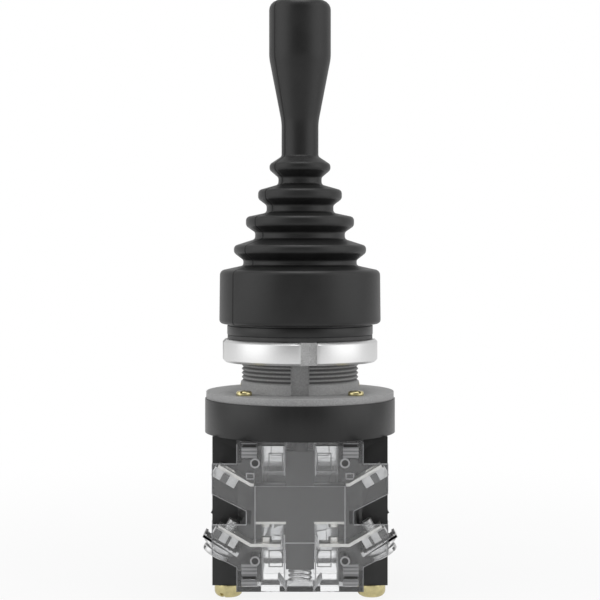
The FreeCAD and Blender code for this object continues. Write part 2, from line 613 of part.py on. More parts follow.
def slanted_rod(side, level, radius, low, high):
    piece = drive(doc.addObject("Part::Cylinder", new_name()), Radius=radius, Height=f"({high}) - ({low})",
                  Placement__Base__y=unit_mid)
    return slanted(piece, side, level, "0", low)


def slanted_plate(side, level, length, width, low, high):
    piece = drive(doc.addObject("Part::Box", new_name()), Length=length, Width=width,
                  Height=f"({high}) - ({low})", Placement__Base__y=f"{unit_mid} - ({width}) / 2")
    return slanted(piece, side, level, f"-({length}) / 2", low)


def unit_outline(low):
    # The clear unit's front: a column with two pairs of wings, as corners of its right half
    wing = "unit_half", "wing_half"
    low_top = "-wing_first - wing_pitch"
    right = [
        (wing[0], disc_low), (wing[0], "-wing_first"), (wing[1], "-wing_first"),
        (wing[1], "-wing_first - wing_side"), ("unit_waist", "-wing_first - wing_side - wing_slant"),
        ("unit_waist", low_top), (wing[1], low_top), (wing[1], f"{low_top} - wing_side"),
        (wing[0], f"{low_top} - wing_side - wing_slant * (wing_half - unit_half) / (wing_half - unit_waist)"),
        (wing[0], low),
    ]
    return right + [(f"-{x}", z) for x, z in right[::-1]]


def unit_room():
    # The open inside of the clear moulding, past its outline at the wings
    wall = "unit_half - clear_wall"
    past = "wing_half + clear_wall"
    waist = "unit_waist - clear_wall"
    slant = "-wing_first - wing_side - wing_slant"
    low_top = "-wing_first - wing_pitch"
    bottom = "-unit_bottom + clear_wall"
    right = [
        (wall, f"{disc_low} - clear_wall"), (wall, "-wing_first + seat_play"),
        (past, "-wing_first + seat_play"),
        (past, "-wing_first - wing_side - clear_wall"), ("unit_waist + clear_wall", slant), (waist, slant),
        (waist, f"{low_top} + seat_play"), (past, f"{low_top} + seat_play"),
        (past, f"{low_top} - wing_side - clear_wall"), (wall, f"{low_top} - wing_side - wing_slant"),
        (wall, bottom),
    ]
    return right + [(f"-({x})", z) for x, z in right[::-1]]


def clear_unit(name, angle):
    # The clear contact unit at the front, turned to its side
    plate = f"{unit_back} - clear_wall"
    cover = prism(unit_outline("-unit_bottom"), unit_front, plate)
    room = prism(unit_room(), f"{unit_front} + clear_wall", f"{plate} + cut_past")
    mouth = box(("-bar_half - arm_play", f"{unit_front} + clear_wall", f"{disc_low} - clear_wall - cut_past"),
                ("bar_half + arm_play", f"{plate} + cut_past", f"{disc_low} + cut_past"))
    pins = [rod("rivet_pin", f"{unit_front} - cut_past", f"{unit_back} + cut_past",
                (f"{x} * rivet_x", f"-{z}"), "y") for x in (1, -1) for z in ("rivet_up", "rivet_down")]
    finish(cut(cover, room, mouth, *pins), f"{name}_cover", angle)

    back = box(("-unit_half", plate, "-unit_bottom"), ("unit_half", unit_back, disc_low))
    windows = [box((low, f"{plate} - cut_past", bottom), (high, f"{unit_back} + cut_past", top))
               for low, high in (("window_in", "window_out"), ("-window_out", "-window_in"))
               for bottom, top in (("-body_top + clear_wall * 2", f"{disc_low} - clear_wall"),
                                   ("-unit_bottom + clear_wall", f"{strip_mid} - clear_wall * 2"))]
    ledges = []
    rise = "tan(terminal_tilt)"
    for side in (1, -1):
        for level, start in ((strip_mid, "window_out + strip_thick / 2"),
                             (f"{strip_mid} + wing_pitch", "strip_bend - strip_thick")):
            under = f"{level} - strip_thick / 2"
            past = "strip_bend + terminal_at - nut_plate / 2 - strip_thick * 2"
            corner = "strip_bend + strip_thick / 2 * tan(terminal_tilt / 2)"
            ledges.append(prism([
                (f"{side} * ({start})", under), (f"{side} * ({corner})", under),
                (f"{side} * ({past})", f"{under} + ({past} - ({corner})) * {rise}"),
                (f"{side} * ({past})", f"{under} - clear_wall"),
                (f"{side} * ({start})", f"{under} - clear_wall"),
            ], f"{unit_mid} - strip_wide / 2", plate))
    pins = [rod("rivet_pin", f"{plate} - cut_past", f"{unit_back} + cut_past",
                (f"{x} * rivet_x", f"-{z}"), "y") for x in (1, -1) for z in ("rivet_up", "rivet_down")]
    finish(cut(fuse(back, *ledges), *windows, *pins), f"{name}_base", angle)

    near, far = f"{unit_mid} - bar_thick / 2", f"{unit_mid} + bar_thick / 2"
    stem = rod("stem_radius", "-bar_top", arm_low, ("0", unit_mid))
    bar = box(("-bar_half", near, "-bar_bottom"), ("bar_half", far, "-bar_top"))
    body = box(("-body_half", near, "-bridge_top"), ("body_half", far, "-body_top"))
    slot = box(("-body_half - cut_past", f"{unit_mid} - bridge_wide / 2", f"{bridge_low} - seat_play"),
               ("body_half + cut_past", f"{unit_mid} + bridge_wide / 2", "-bridge_top"))
    well = rod("press_radius + press_wire + screw_play", "-bridge_top - seat_play",
               "-bridge_top + press_high + seat_play", ("0", unit_mid))
    finish(cut(fuse(stem, bar, body), slot, well), f"{name}_plunger", angle)
    bridge = box(("-body_half", f"{unit_mid} - bridge_wide / 2", bridge_low),
                 ("body_half", f"{unit_mid} + bridge_wide / 2", "-bridge_top"))
    rivets = [rod("rivet_radius", f"{bridge_low} - rivet_high", bridge_low, (f"{x} * contact_half", unit_mid))
              for x in (1, -1)]
    finish(group(bridge, *rivets), f"{name}_bridge", angle)

    contacts = []
    plates = []
    half = "strip_thick / 2"
    bend = "tan(terminal_tilt / 2)"
    away, up = "cos(terminal_tilt)", "sin(terminal_tilt)"
    for side in (1, -1):
        for level, start in ((strip_mid, "strip_inner"),
                             (f"{strip_mid} + wing_pitch", "strip_bend - strip_thick")):
            strip = prism([
                (f"{side} * ({start})", f"{level} - {half}"),
                (f"{side} * (strip_bend + {half} * {bend})", f"{level} - {half}"),
                (f"{side} * (strip_bend + strip_tail * {away} + {half} * {up})",
                 f"{level} + strip_tail * {up} - {half} * {away}"),
                (f"{side} * (strip_bend + strip_tail * {away} - {half} * {up})",
                 f"{level} + strip_tail * {up} + {half} * {away}"),
                (f"{side} * (strip_bend - {half} * {bend})", f"{level} + {half}"),
                (f"{side} * ({start})", f"{level} + {half}"),
            ], f"{unit_mid} - strip_wide / 2", f"{unit_mid} + strip_wide / 2")
            contacts.append(cut(strip, slanted_rod(side, level, "strip_hole", "-strip_thick", "strip_thick")))
            low = f"-{half} - nut_plate_thick"
            block = slanted_plate(side, level, "nut_plate", "strip_wide", low, f"-{half}")
            hole = slanted_rod(side, level, "thread_hole", f"{low} - cut_past", "cut_past")
            plates.append(cut(block, hole))
        contacts.append(rod("rivet_radius", f"{strip_mid} + {half}", pad_top,
                            (f"{side} * contact_half", unit_mid)))
    finish(group(*contacts), f"{name}_contacts", angle)
    finish(group(*plates), f"{name}_terminal_plates", angle)
    finish(coil("spring_radius", "spring_wire", "-unit_bottom + clear_wall + spring_wire + seat_play",
                "-bar_bottom - spring_wire - seat_play", "spring_turns", ("0", unit_mid)),
           f"{name}_return_spring", angle)
    finish(coil("press_radius", "press_wire", "-bridge_top + press_wire + seat_play",
                "-bridge_top + press_high - press_wire", "press_turns", ("0", unit_mid)),
           f"{name}_contact_spring", angle)


def half_turned(pieces):
    # The same pieces at the front and, turned half round, at the rear
    front = group(*pieces())
    rear = group(*pieces())
    rear.Placement.Rotation = FreeCAD.Rotation(FreeCAD.Vector(0, 0, 1), 180)
    return group(front, rear)


clamp_low = "-strip_thick / 2 - nut_plate_thick - clamp_open - clamp_thick"


def clamp_plates():
    return [cut(slanted_plate(side, strip_mid, "clamp_long", "clamp_wide", clamp_low,
                              f"{clamp_low} + clamp_thick"),
                slanted_rod(side, strip_mid, "strip_hole", f"{clamp_low} - cut_past", "0"))
            for side in (1, -1)]


def washers():
    return [cut(slanted_plate(side, strip_mid, "washer_radius * 2", "washer_wide * 2",
                              f"{clamp_low} - clamp_thick", clamp_low),
                slanted_rod(side, strip_mid, "thread_hole", f"{clamp_low} - cut_past", "0"))
            for side in (1, -1)]


def terminal_screws():
    under = f"{clamp_low} - clamp_thick"
    return [fuse(slanted_rod(side, strip_mid, "head_wide", f"{under} - head_high", under),
                 slanted_rod(side, strip_mid, "thread_hole - shank_play", f"{under} - seat_play",
                             "shank_tip"))
            for side in (1, -1)]


def unit_pins():
    return [rod("rivet_pin", unit_front, f"{unit_back} + rivet_into", (f"{x} * rivet_x", f"-{z}"), "y")
            for x in (1, -1) for z in ("rivet_up", "rivet_down")]


grip_and_lever()
pivot()
boot()
head_and_neck()
disc_and_pushers()
side_unit("right", 0)
side_unit("left", 180)
clear_unit("front", 0)
clear_unit("rear", 180)
finish(half_turned(clamp_plates), "clamp_plates")
finish(half_turned(washers), "terminal_washers")
finish(half_turned(terminal_screws), "terminal_screws")
finish(half_turned(unit_pins), "unit_pins")

doc.recompute()
for one in doc.Objects:
    if "Invalid" in one.State or "Error" in one.State:
        raise SystemExit(f"{one.Name} ({one.Label}) did not build: {one.State}")
os.makedirs("parts", exist_ok=True)
for one in nodes:
    if one.Shape.isNull() or not one.Shape.isValid() or not one.Shape.Solids:
        raise SystemExit(f"{one.Label} has no sound shape")
for one in nodes:
    one.Shape.exportStep(f"parts/{one.Label}.step")
    bounds = one.Shape.BoundBox
    print(f"{one.Label:24} {len(one.Shape.Solids):3} solids {one.Shape.Volume:10.1f} mm3 "
          f"x {bounds.XMin:7.2f} {bounds.XMax:7.2f} y {bounds.YMin:7.2f} {bounds.YMax:7.2f} "
          f"z {bounds.ZMin:7.2f} {bounds.ZMax:7.2f}")
print(len(nodes), "nodes")
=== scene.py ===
import bpy
import json
import math
from mathutils import Matrix, Vector


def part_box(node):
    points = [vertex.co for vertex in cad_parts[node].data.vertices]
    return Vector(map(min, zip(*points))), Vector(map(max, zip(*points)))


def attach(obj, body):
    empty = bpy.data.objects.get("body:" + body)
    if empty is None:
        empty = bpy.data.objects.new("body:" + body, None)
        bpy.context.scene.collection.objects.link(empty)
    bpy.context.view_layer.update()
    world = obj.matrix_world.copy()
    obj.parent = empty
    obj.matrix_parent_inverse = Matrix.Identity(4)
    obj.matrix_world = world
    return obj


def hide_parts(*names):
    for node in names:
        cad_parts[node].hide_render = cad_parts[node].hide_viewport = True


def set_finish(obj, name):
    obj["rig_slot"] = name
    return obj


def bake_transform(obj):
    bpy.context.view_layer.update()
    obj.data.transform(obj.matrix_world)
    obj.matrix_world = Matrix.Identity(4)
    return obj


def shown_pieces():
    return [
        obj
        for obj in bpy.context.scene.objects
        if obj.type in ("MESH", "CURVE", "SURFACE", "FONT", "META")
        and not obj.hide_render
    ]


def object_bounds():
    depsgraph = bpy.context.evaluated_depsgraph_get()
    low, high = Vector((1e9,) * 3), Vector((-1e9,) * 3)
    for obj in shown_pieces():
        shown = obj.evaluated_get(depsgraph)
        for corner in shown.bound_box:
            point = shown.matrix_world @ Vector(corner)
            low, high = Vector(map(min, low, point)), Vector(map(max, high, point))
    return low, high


# A four-way joystick switch for a 30 mm panel hole.
# Sizes here are in millimetres unless they say otherwise.

mm = 0.001
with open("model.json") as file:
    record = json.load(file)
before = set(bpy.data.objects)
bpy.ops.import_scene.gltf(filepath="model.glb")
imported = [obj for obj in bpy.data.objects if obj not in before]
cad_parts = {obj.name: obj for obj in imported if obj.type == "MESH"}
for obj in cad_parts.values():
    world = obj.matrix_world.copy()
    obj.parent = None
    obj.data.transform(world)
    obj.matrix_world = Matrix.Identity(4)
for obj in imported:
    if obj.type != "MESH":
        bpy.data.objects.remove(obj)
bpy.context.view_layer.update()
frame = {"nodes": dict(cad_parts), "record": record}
bodyOf = {node: body for body, nodes in frame["record"]["behaviour"]["bodies"].items() for node in nodes}
slotOf = {part["node"]: part["material_slot"] for part in frame["record"]["subparts"]}
bpy.context.scene.view_settings.view_transform = "Standard"


# Selecting and finishing, as by hand

def dropSelection():
    if bpy.context.mode != "OBJECT":
        bpy.ops.object.mode_set(mode="OBJECT")
    bpy.ops.object.select_all(action="DESELECT")


def takeUp(piece):
    # Makes a piece the only one selected, and the active one
    dropSelection()
    piece.select_set(True)
    bpy.context.view_layer.objects.active = piece


def modify(piece, kind, **settings):
    # Adds a modifier with its settings and applies it
    takeUp(piece)
    modifier = piece.modifiers.new(kind.title(), kind)
    for name, value in settings.items():
        setattr(modifier, name, value)
    bpy.ops.object.modifier_apply(modifier=modifier.name)


def bevelEdges(piece, width, steps=1, angle=40):
    modify(piece, "BEVEL", width=width * mm, segments=steps, limit_method="ANGLE",
           angle_limit=math.radians(angle), harden_normals=False)


def settle(piece):
    # Puts a piece's place, turn and size into its mesh
    takeUp(piece)
    bpy.ops.object.transform_apply(location=True, rotation=True, scale=True)
    return piece


def smooth(piece, angle=40):
    takeUp(piece)
    bpy.ops.object.shade_smooth_by_angle(angle=math.radians(angle))


def tidyNormals(piece):
    takeUp(piece)
    bpy.ops.object.mode_set(mode="EDIT")
    bpy.ops.mesh.select_all(action="SELECT")
    bpy.ops.mesh.remove_doubles(threshold=0.0005 * mm)
    bpy.ops.mesh.normals_make_consistent(inside=False)
    bpy.ops.object.mode_set(mode="OBJECT")


def dress(piece, name, body, slot, skin, stands=()):
    # Names a finished piece and gives it its body, slot and skin
    piece.name = name
    piece.data.name = name
    piece.data.materials.clear()
    piece.data.materials.append(skin)
    if stands:
        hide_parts(*stands)
    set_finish(piece, slot)
    if body:
        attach(piece, body)


def joined(first, *others):
    # Makes one piece of several
    takeUp(first)
    for other in others:
        other.select_set(True)
    bpy.ops.object.join()
    return first


# Skins: shader maths written as expressions

class Port:
    # A shader socket that adds and multiplies like a number
    def __init__(self, skin, socket):
        self.skin = skin
        self.socket = socket

    def join(self, operation, first, second=None):
        return self.skin.node("Math", {"operation": operation}, {0: first, 1: second})

    def __add__(self, other):
        return self.join("ADD", self, other)

    def __radd__(self, other):
        return self.join("ADD", other, self)

    def __sub__(self, other):
        return self.join("SUBTRACT", self, other)

    def __rsub__(self, other):
        return self.join("SUBTRACT", other, self)

    def __mul__(self, other):
        return self.join("MULTIPLY", self, other)

    def __rmul__(self, other):
        return self.join("MULTIPLY", other, self)

    def __abs__(self):
        return self.join("ABSOLUTE", self)


class Skin:
    # One material: its nodes, and the sockets of its shader
    def __init__(self, name):
        self.material = bpy.data.materials.new(name)
        self.material.use_nodes = True
        self.nodes = self.material.node_tree.nodes
        self.links = self.material.node_tree.links
        self.shader = self.nodes["Principled BSDF"]

    def node(self, kind, settings=None, sockets=None, output=0):
        made = self.nodes.new("ShaderNode" + kind)
        for name, value in (settings or {}).items():
            setattr(made, name, value)
        for name, value in (sockets or {}).items():
            self.feed(made.inputs[name], value)
        return Port(self, made.outputs[output])

    def feed(self, socket, value):
        if isinstance(value, Port):
            self.links.new(value.socket, socket)
        elif value is not None:
            socket.default_value = value

    def place(self, attribute=None):
        # Coordinates in millimetres: the object's own, or those stored at rest on a piece that bends
        if attribute:
            source = self.node("Attribute", {"attribute_name": attribute}, output="Vector")
        else:
            source = self.node("TexCoord", output="Object")
        return self.node("VectorMath", {"operation": "SCALE"}, {0: source, "Scale": 1 / mm})

    def split(self, place):
        made = self.nodes.new("ShaderNodeSeparateXYZ")
        self.feed(made.inputs[0], place)
        return [Port(self, made.outputs[axis]) for axis in "XYZ"]

    def noise(self, place, scale, detail=2.0, rough=0.5):
        return self.node("TexNoise", {"noise_dimensions": "3D"},
                         {"Vector": place, "Scale": scale, "Detail": detail, "Roughness": rough})

    def stretched(self, place, scale):
        return self.node("Mapping", None, {"Vector": place, "Scale": scale})

    def length(self, vector):
        return self.node("VectorMath", {"operation": "LENGTH"}, {0: vector}, output="Value")

    def fromAxis(self, place):
        # How far a place lies from the Z axis
        return self.length(self.node("VectorMath", {"operation": "MULTIPLY"}, {0: place, 1: (1, 1, 0)}))

    def level(self, value, low, high, start=0.0, end=1.0):
        # A smooth step from start to end as value goes from low to high
        return self.node("MapRange", {"interpolation_type": "SMOOTHSTEP"},
                         {"Value": value, "From Min": low, "From Max": high,
                          "To Min": start, "To Max": end})

    def blendColours(self, factor, first, second):
        made = self.nodes.new("ShaderNodeMix")
        made.data_type = "RGBA"
        self.feed(made.inputs[0], factor)
        self.feed(made.inputs[6], first)
        self.feed(made.inputs[7], second)
        return Port(self, made.outputs[2])

    def bump(self, height, strength, distance):
        return self.node("Bump", None, {"Height": height, "Strength": strength, "Distance": distance * mm})

    def finish(self, **sockets):
        for name, value in sockets.items():
            self.feed(self.shader.inputs[name.replace("_", " ")], value)
        return self.material


def grey(value):
    return (value, value, value, 1)


def darker(colour, share):
    return (*(part * share for part in colour[:3]), 1)


rubberLook = {"base": 0.008, "worn": 0.012, "rough": 0.4, "shine": 0.42, "grain": 9.0,
              "seamTurn": 36.0, "seamWide": 0.16, "seamShade": 0.003}


def rubberSkin():
    # Matt moulded rubber with a fine grain, dusty patches and the mould's parting line
    look = rubberLook
    skin = Skin("rubber")
    place = skin.place("restPlace")
    x, y, z = skin.split(place)
    turn = math.radians(look["seamTurn"])
    fromSeam = abs(x * math.sin(turn) + y * -math.cos(turn))
    seam = skin.level(fromSeam, look["seamWide"], look["seamWide"] * 2.6, 1.0, 0.0)
    patches = skin.noise(place, 0.16, 3.0)
    grain = skin.noise(place, look["grain"], 2.0, 0.6)
    shade = skin.level(patches, 0.35, 0.7)
    colour = skin.blendColours(shade, grey(look["base"]), grey(look["worn"]))
    colour = skin.blendColours(seam, colour, grey(look["seamShade"]))
    rough = look["rough"] + (patches - 0.5) * 0.12 + (grain - 0.5) * 0.1 + seam * 0.3
    height = grain * 0.02 - seam * 0.12
    return skin.finish(Base_Color=colour, Roughness=rough, Specular_IOR_Level=look["shine"],
                       Normal=skin.bump(height, 0.9, 1.0))


plasticLook = {"base": 0.011, "rough": 0.34, "shine": 0.42, "grain": 14.0}


def plasticSkin(name="blackPlastic", base=None, rough=None):
    # Black phenolic moulding: faint flow marks, fine grain
    look = plasticLook
    skin = Skin(name)
    place = skin.place()
    flow = skin.noise(skin.stretched(place, (0.5, 0.5, 0.12)), 0.35, 4.0, 0.6)
    grain = skin.noise(place, look["grain"], 1.0)
    dark = base or look["base"]
    colour = skin.blendColours(skin.level(flow, 0.35, 0.7), grey(dark), grey(dark * 1.4))
    roughness = (rough or look["rough"]) + (flow - 0.5) * 0.14 + (grain - 0.5) * 0.08
    return skin.finish(Base_Color=colour, Roughness=roughness, Specular_IOR_Level=look["shine"],
                       Normal=skin.bump(grain * 0.018, 0.8, 1.0))


castingLook = {"base": 0.41, "dark": 0.31, "metal": 0.3, "rough": 0.55, "stipple": 3.6, "grooveShade": 0.3,
               "crest": 14.8, "root": 14.35, "threadLow": (-12.9, -12.6), "keyHalf": 2.2, "keyFade": 0.2}


def castingSkin():
    # Grey zinc casting with a finely stippled surface, and painted shade in the thread's grooves beside the
    # keyway
    look = castingLook
    skin = Skin("greyCasting")
    place = skin.place()
    stipple = skin.noise(place, look["stipple"], 3.0, 0.65)
    speck = skin.noise(place, look["stipple"] * 3, 1.0)
    soft = skin.noise(place, 0.25, 2.0)
    colour = skin.blendColours(skin.level(stipple, 0.36, 0.66), grey(look["dark"]), grey(look["base"]))
    x, y, z = skin.split(place)
    radius = skin.fromAxis(place)
    # Painted shade: the thread's grooves are darkened everywhere but in the keyway at the front
    groove = skin.level(radius, look["root"], look["crest"], 1.0, 0.0) * skin.level(z, *look["threadLow"])
    beside = skin.level(abs(x), look["keyHalf"], look["keyHalf"] + look["keyFade"])
    groove = groove * skin.level(beside + skin.level(y, -1.0, 1.0), 0.1, 0.9)
    colour = skin.blendColours(groove, colour, grey(look["dark"] * look["grooveShade"]))
    rough = look["rough"] + (speck - 0.5) * 0.2 + (soft - 0.5) * 0.1
    height = stipple * 0.09 + speck * 0.02
    return skin.finish(Base_Color=colour, Metallic=look["metal"], Roughness=rough,
                       Normal=skin.bump(height, 0.8, 1.0))


nutLook = {"base": 0.81, "rough": 0.4, "slotRough": 0.6, "slotShade": 0.62, "slotDeep": (0.9, 0.75)}


def nutSkin():
    # Turned aluminium: fine lathe lines round it, and grey milled slots
    look = nutLook
    skin = Skin("turnedAluminium")
    place = skin.place()
    z = skin.split(place)[2]
    radius = skin.fromAxis(place)
    lines = skin.noise(skin.stretched(place, (0.05, 0.05, 3.0)), 2.4, 3.0, 0.7)
    speckle = skin.noise(place, 5.0, 2.0, 0.6)
    low, high = (corner[2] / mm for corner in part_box("panel_nut"))
    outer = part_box("panel_nut")[1][0] / mm
    milled = skin.level(radius, *(outer - deep for deep in look["slotDeep"]), 1.0, 0.0)
    inside = skin.level(z, low + 0.02, low + 0.1) * skin.level(z, high - 0.1, high - 0.02, 1.0, 0.0)
    slotted = milled * inside
    bright = skin.blendColours(skin.level(speckle, 0.3, 0.75), grey(look["base"] * 0.95),
                               grey(look["base"]))
    stipple = skin.blendColours(skin.level(speckle, 0.35, 0.65), grey(look["slotShade"] * 0.7),
                                grey(look["slotShade"]))
    colour = skin.blendColours(slotted, bright, stipple)
    rough = look["rough"] + (lines - 0.5) * 0.14 + slotted * (look["slotRough"] - look["rough"])
    height = lines * 0.012 + slotted * speckle * 0.08
    return skin.finish(Base_Color=colour, Metallic=1.0, Roughness=rough,
                       Normal=skin.bump(height, 0.7, 1.0))


metalLook = {"scratch": 6.0, "spread": 0.06, "dull": 0.86}


def metalSkin(name, colour, rough):
    # Plated or drawn metal with fine scratches and duller clouds
    look = metalLook
    skin = Skin(name)
    place = skin.place()
    marks = skin.noise(skin.stretched(place, (1, 1, 0.25)), look["scratch"], 3.0, 0.65)
    cloud = skin.noise(place, 0.8, 2.0)
    shade = skin.blendColours(skin.level(cloud, 0.3, 0.7), darker(colour, look["dull"]), colour)
    roughness = rough + (marks - 0.5) * look["spread"] + (cloud - 0.5) * look["spread"]
    return skin.finish(Base_Color=shade, Metallic=1.0, Roughness=roughness,
                       Normal=skin.bump(marks * 0.004, 0.5, 1.0))


clearLook = {"tint": (0.9, 0.905, 0.91, 1), "rough": 0.02, "haze": 0.025, "index": 1.5}


def clearSkin(name="smokyClear", tint=None, haze=None, rough=None):
    # Smoke-grey polycarbonate: clear with a little haze, and soft moulding ripples
    look = clearLook
    skin = Skin(name)
    place = skin.place()
    ripple = skin.noise(place, 0.5, 2.0)
    fine = skin.noise(place, 7.0, 2.0)
    roughness = (rough or look["rough"]) + (fine - 0.5) * 0.02 + (ripple - 0.5) * 0.02
    return skin.finish(Base_Color=tint or look["tint"], Roughness=roughness, IOR=look["index"],
                       Transmission_Weight=1 - (haze or look["haze"]),
                       Normal=skin.bump(ripple * 0.03 + fine * 0.002, 0.4, 1.0))


def paleSkin(name, colour, rough):
    # Pale moulded plastic for the inner parts
    skin = Skin(name)
    place = skin.place()
    cloud = skin.noise(place, 0.5, 3.0)
    grain = skin.noise(place, 10.0, 1.0)
    shade = skin.blendColours(skin.level(cloud, 0.3, 0.7), darker(colour, 0.92), colour)
    return skin.finish(Base_Color=shade, Roughness=rough + (cloud - 0.5) * 0.1,
                       Normal=skin.bump(grain * 0.01, 0.6, 1.0))


skins = {
    "black_rubber": rubberSkin(),
    "black_plastic": plasticSkin(),
    "grey_casting": castingSkin(),
    "zinc": metalSkin("castZinc", grey(0.45), 0.45),
    "nut_metal": nutSkin(),
    "white_acetal": paleSkin("whiteAcetal", (0.75, 0.74, 0.7, 1), 0.4),
    "smoke_clear": clearSkin(),
    "frosted": clearSkin("frostedClear", (0.62, 0.62, 0.63, 1), 0.5, 0.35),
    # A darker copy of the frosted plastic: painted shade for recessed panels and fine lines
    "frosted_shade": clearSkin("frostedShade", (0.34, 0.34, 0.35, 1), 0.5, 0.35),
    "frosted_pane": clearSkin("frostedPane", (0.97, 0.97, 0.97, 1), 0.05, 0.03),
    "shade_smoke": clearSkin("shadeSmoke", (0.3, 0.3, 0.3, 1), 0.04, 0.03),
    "smoke_plunger": plasticSkin("smokePlunger", 0.046, 0.3),
    "plated_steel": metalSkin("platedSteel", grey(0.68), 0.34),
    "contact_metal": metalSkin("contactMetal", (0.8, 0.79, 0.76, 1), 0.3),
    "spring_wire": metalSkin("springWire", grey(0.7), 0.25),
    "steel": metalSkin("turnedSteel", grey(0.6), 0.3),
    "brass": metalSkin("brass", (0.68, 0.6, 0.32, 1), 0.24),
}
housingSkin = plasticSkin("housingPlastic", 0.019)
ownSkins = {
    "unit_pins": metalSkin("darkSteel", grey(0.1), 0.3),
    "left_housing": housingSkin,
    "right_housing": housingSkin,
    "panel_gasket": plasticSkin("gasketRubber", 0.04, 0.5),
}
print("skins made")


def skinOf(node):
    # Most nodes wear their slot's skin, and a few have one of their own
    return ownSkins.get(node) or skins[slotOf[node]]


# Pieces taken over from the construction, with their edges broken

def plainCopy(node, name):
    # A copy of a node with its triangles merged into clean faces
    piece = bpy.data.objects.new(name, frame["nodes"][node].data.copy())
    bpy.context.scene.collection.objects.link(piece)
    takeUp(piece)
    bpy.ops.object.mode_set(mode="EDIT")
    bpy.ops.mesh.select_all(action="SELECT")
    bpy.ops.mesh.remove_doubles(threshold=0.001 * mm)
    bpy.ops.mesh.dissolve_limited(angle_limit=math.radians(0.5))
    bpy.ops.object.mode_set(mode="OBJECT")
    return piece


def eased(node, width):
    # A copy of a node with clean faces and rounded edges, in the node's place
    piece = plainCopy(node, f"{node}_eased")
    bevelEdges(piece, width, 2, 30)
    smooth(piece)
    dress(piece, piece.name, bodyOf[node], slotOf[node], skinOf(node), [node])


# Rubber

boot = {
    "segments": 96, "wall": 1.3, "skirt": 2.1, "collarLow": 3.85, "collarRadius": 20.5,
    "collarTop": (20.35, 17.3), "shoulder": 18.6, "neck": 4.69,
    "gripStart": 55.0, "gripWide": 71.3, "gripRadius": 7.85, "gripTop": 85.95,
    "rings": [
        {"valley": 14.42, "rise": 19.96, "rim": 16.8, "low": 21.8, "high": 23.57, "end": 25.29},
        {"valley": 11.42, "rise": 26.98, "rim": 13.75, "low": 28.62, "high": 30.87, "end": 31.99},
        {"valley": 8.5, "rise": 33.86, "rim": 10.65, "low": 35.5, "high": 37.68, "end": 39.15},
        {"valley": 5.5, "rise": 40.9, "rim": 7.75, "low": 42.84, "high": 44.27, "end": 46.3},
    ],
    "split": 26.5, "bendLow": 18.5, "bendMid": 26.4, "bendHigh": 41.0,
    "core": [(0, 79), (3.02, 79), (3.02, 47), (4.1, 40.6), (7.1, 33.4)],
}


def rounded(corners, steps=5):
    # A line through (radius, height, fillet) corners, with each corner turned into an arc
    line = []
    for number, (across, up, fillet) in enumerate(corners):
        here = Vector((across, up))
        if fillet == 0 or number in (0, len(corners) - 1):
            line.append(here)
            continue
        back = (Vector(corners[number - 1][:2]) - here).normalized()
        ahead = (Vector(corners[number + 1][:2]) - here).normalized()
        half = back.angle(ahead) / 2
        reach = min(fillet / math.tan(half), (Vector(corners[number - 1][:2]) - here).length * 0.49,
                    (Vector(corners[number + 1][:2]) - here).length * 0.49)
        radius = reach * math.tan(half)
        centre = here + (back + ahead).normalized() * (radius / math.sin(half))
        first = here + back * reach - centre
        sweep = first.angle_signed(here + ahead * reach - centre)
        for step in range(steps + 1):
            turn = Matrix.Rotation(-sweep * step / steps, 2)
            line.append(centre + turn @ first)
    return line


def ringStack(line, segments):
    # A turned skin: a circle drawn out from ring to ring along a line of (radius, height) points
    dropSelection()
    pole = 0.0001
    bpy.ops.mesh.primitive_circle_add(vertices=segments, radius=max(line[0][0], pole) * mm,
                                      location=(0, 0, line[0][1] * mm))
    piece = bpy.context.object
    settle(piece)
    bpy.ops.object.mode_set(mode="EDIT")
    bpy.ops.mesh.select_all(action="SELECT")
    for (across, up), (nextAcross, nextUp) in zip(line, line[1:]):
        bpy.ops.mesh.extrude_region_move(TRANSFORM_OT_translate={"value": (0, 0, (nextUp - up) * mm)})
        size = max(nextAcross, pole) / max(across, pole)
        bpy.ops.transform.resize(value=(size, size, 1), center_override=(0, 0, 0))
    bpy.ops.object.mode_set(mode="OBJECT")
    return piece


def bootLine():
    # The boot's outer line from the skirt's lower edge up to the top of the grip
    rings, radius, low = boot["rings"], boot["collarRadius"], boot["collarLow"]
    corners = [(radius - boot["skirt"], low, 0), (radius, low, 1.0), (*boot["collarTop"], 1.4),
               (rings[0]["valley"], boot["shoulder"], 0.7)]
    for number, ring in enumerate(rings):
        after = rings[number + 1]["valley"] if number + 1 < len(rings) else boot["neck"]
        corners += [(ring["valley"], ring["rise"], 0.9), (ring["rim"], ring["low"], 1.2),
                    (ring["rim"], ring["high"], 1.1), (after, ring["end"], 0.9)]
    corners += [(boot["neck"], boot["gripStart"], 14), (boot["gripRadius"], boot["gripWide"], 12),
                (boot["gripRadius"], boot["gripTop"] - 0.2, 2.3), (0, boot["gripTop"], 0)]
    return rounded(corners)


def keepRest(piece):
    # Stores where each point lies at rest, for the skin of a piece that bends
    store = piece.data.attributes.new("restPlace", "FLOAT_VECTOR", "POINT")
    store.data.foreach_set("vector", [value for corner in piece.data.vertices for value in corner.co])


def makeBoot():
    # Two turned skins that meet in a valley, each lying between the body below it and the one above
    line = bootLine()
    split = boot["split"]
    lower = [point for point in line if point[1] <= split]
    upper = [point for point in line if point[1] >= split]
    valley = boot["rings"][1]["valley"]
    edge = [(valley, split), (valley - boot["wall"], split)]
    roof = boot["collarTop"][1] - boot["wall"]
    throat = boot["rings"][0]["valley"] - boot["wall"]
    inner = boot["collarRadius"] - boot["skirt"]
    paths = {"boot_lower": lower + edge + [(throat, roof + 3), (throat, roof), (inner, roof), lower[0]],
             "boot_upper": boot["core"] + edge[::-1] + upper}
    nodes = {"boot_lower": ["boot_collar", "bellows"], "boot_upper": ["grip_sleeve", "bellows"]}
    for name, path in paths.items():
        piece = ringStack(path, boot["segments"])
        tidyNormals(piece)
        smooth(piece, 60)
        keepRest(piece)
        dress(piece, name, None, "black_rubber", skins["black_rubber"], nodes[name])
        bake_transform(piece)
    print("boot made")


makeBoot()


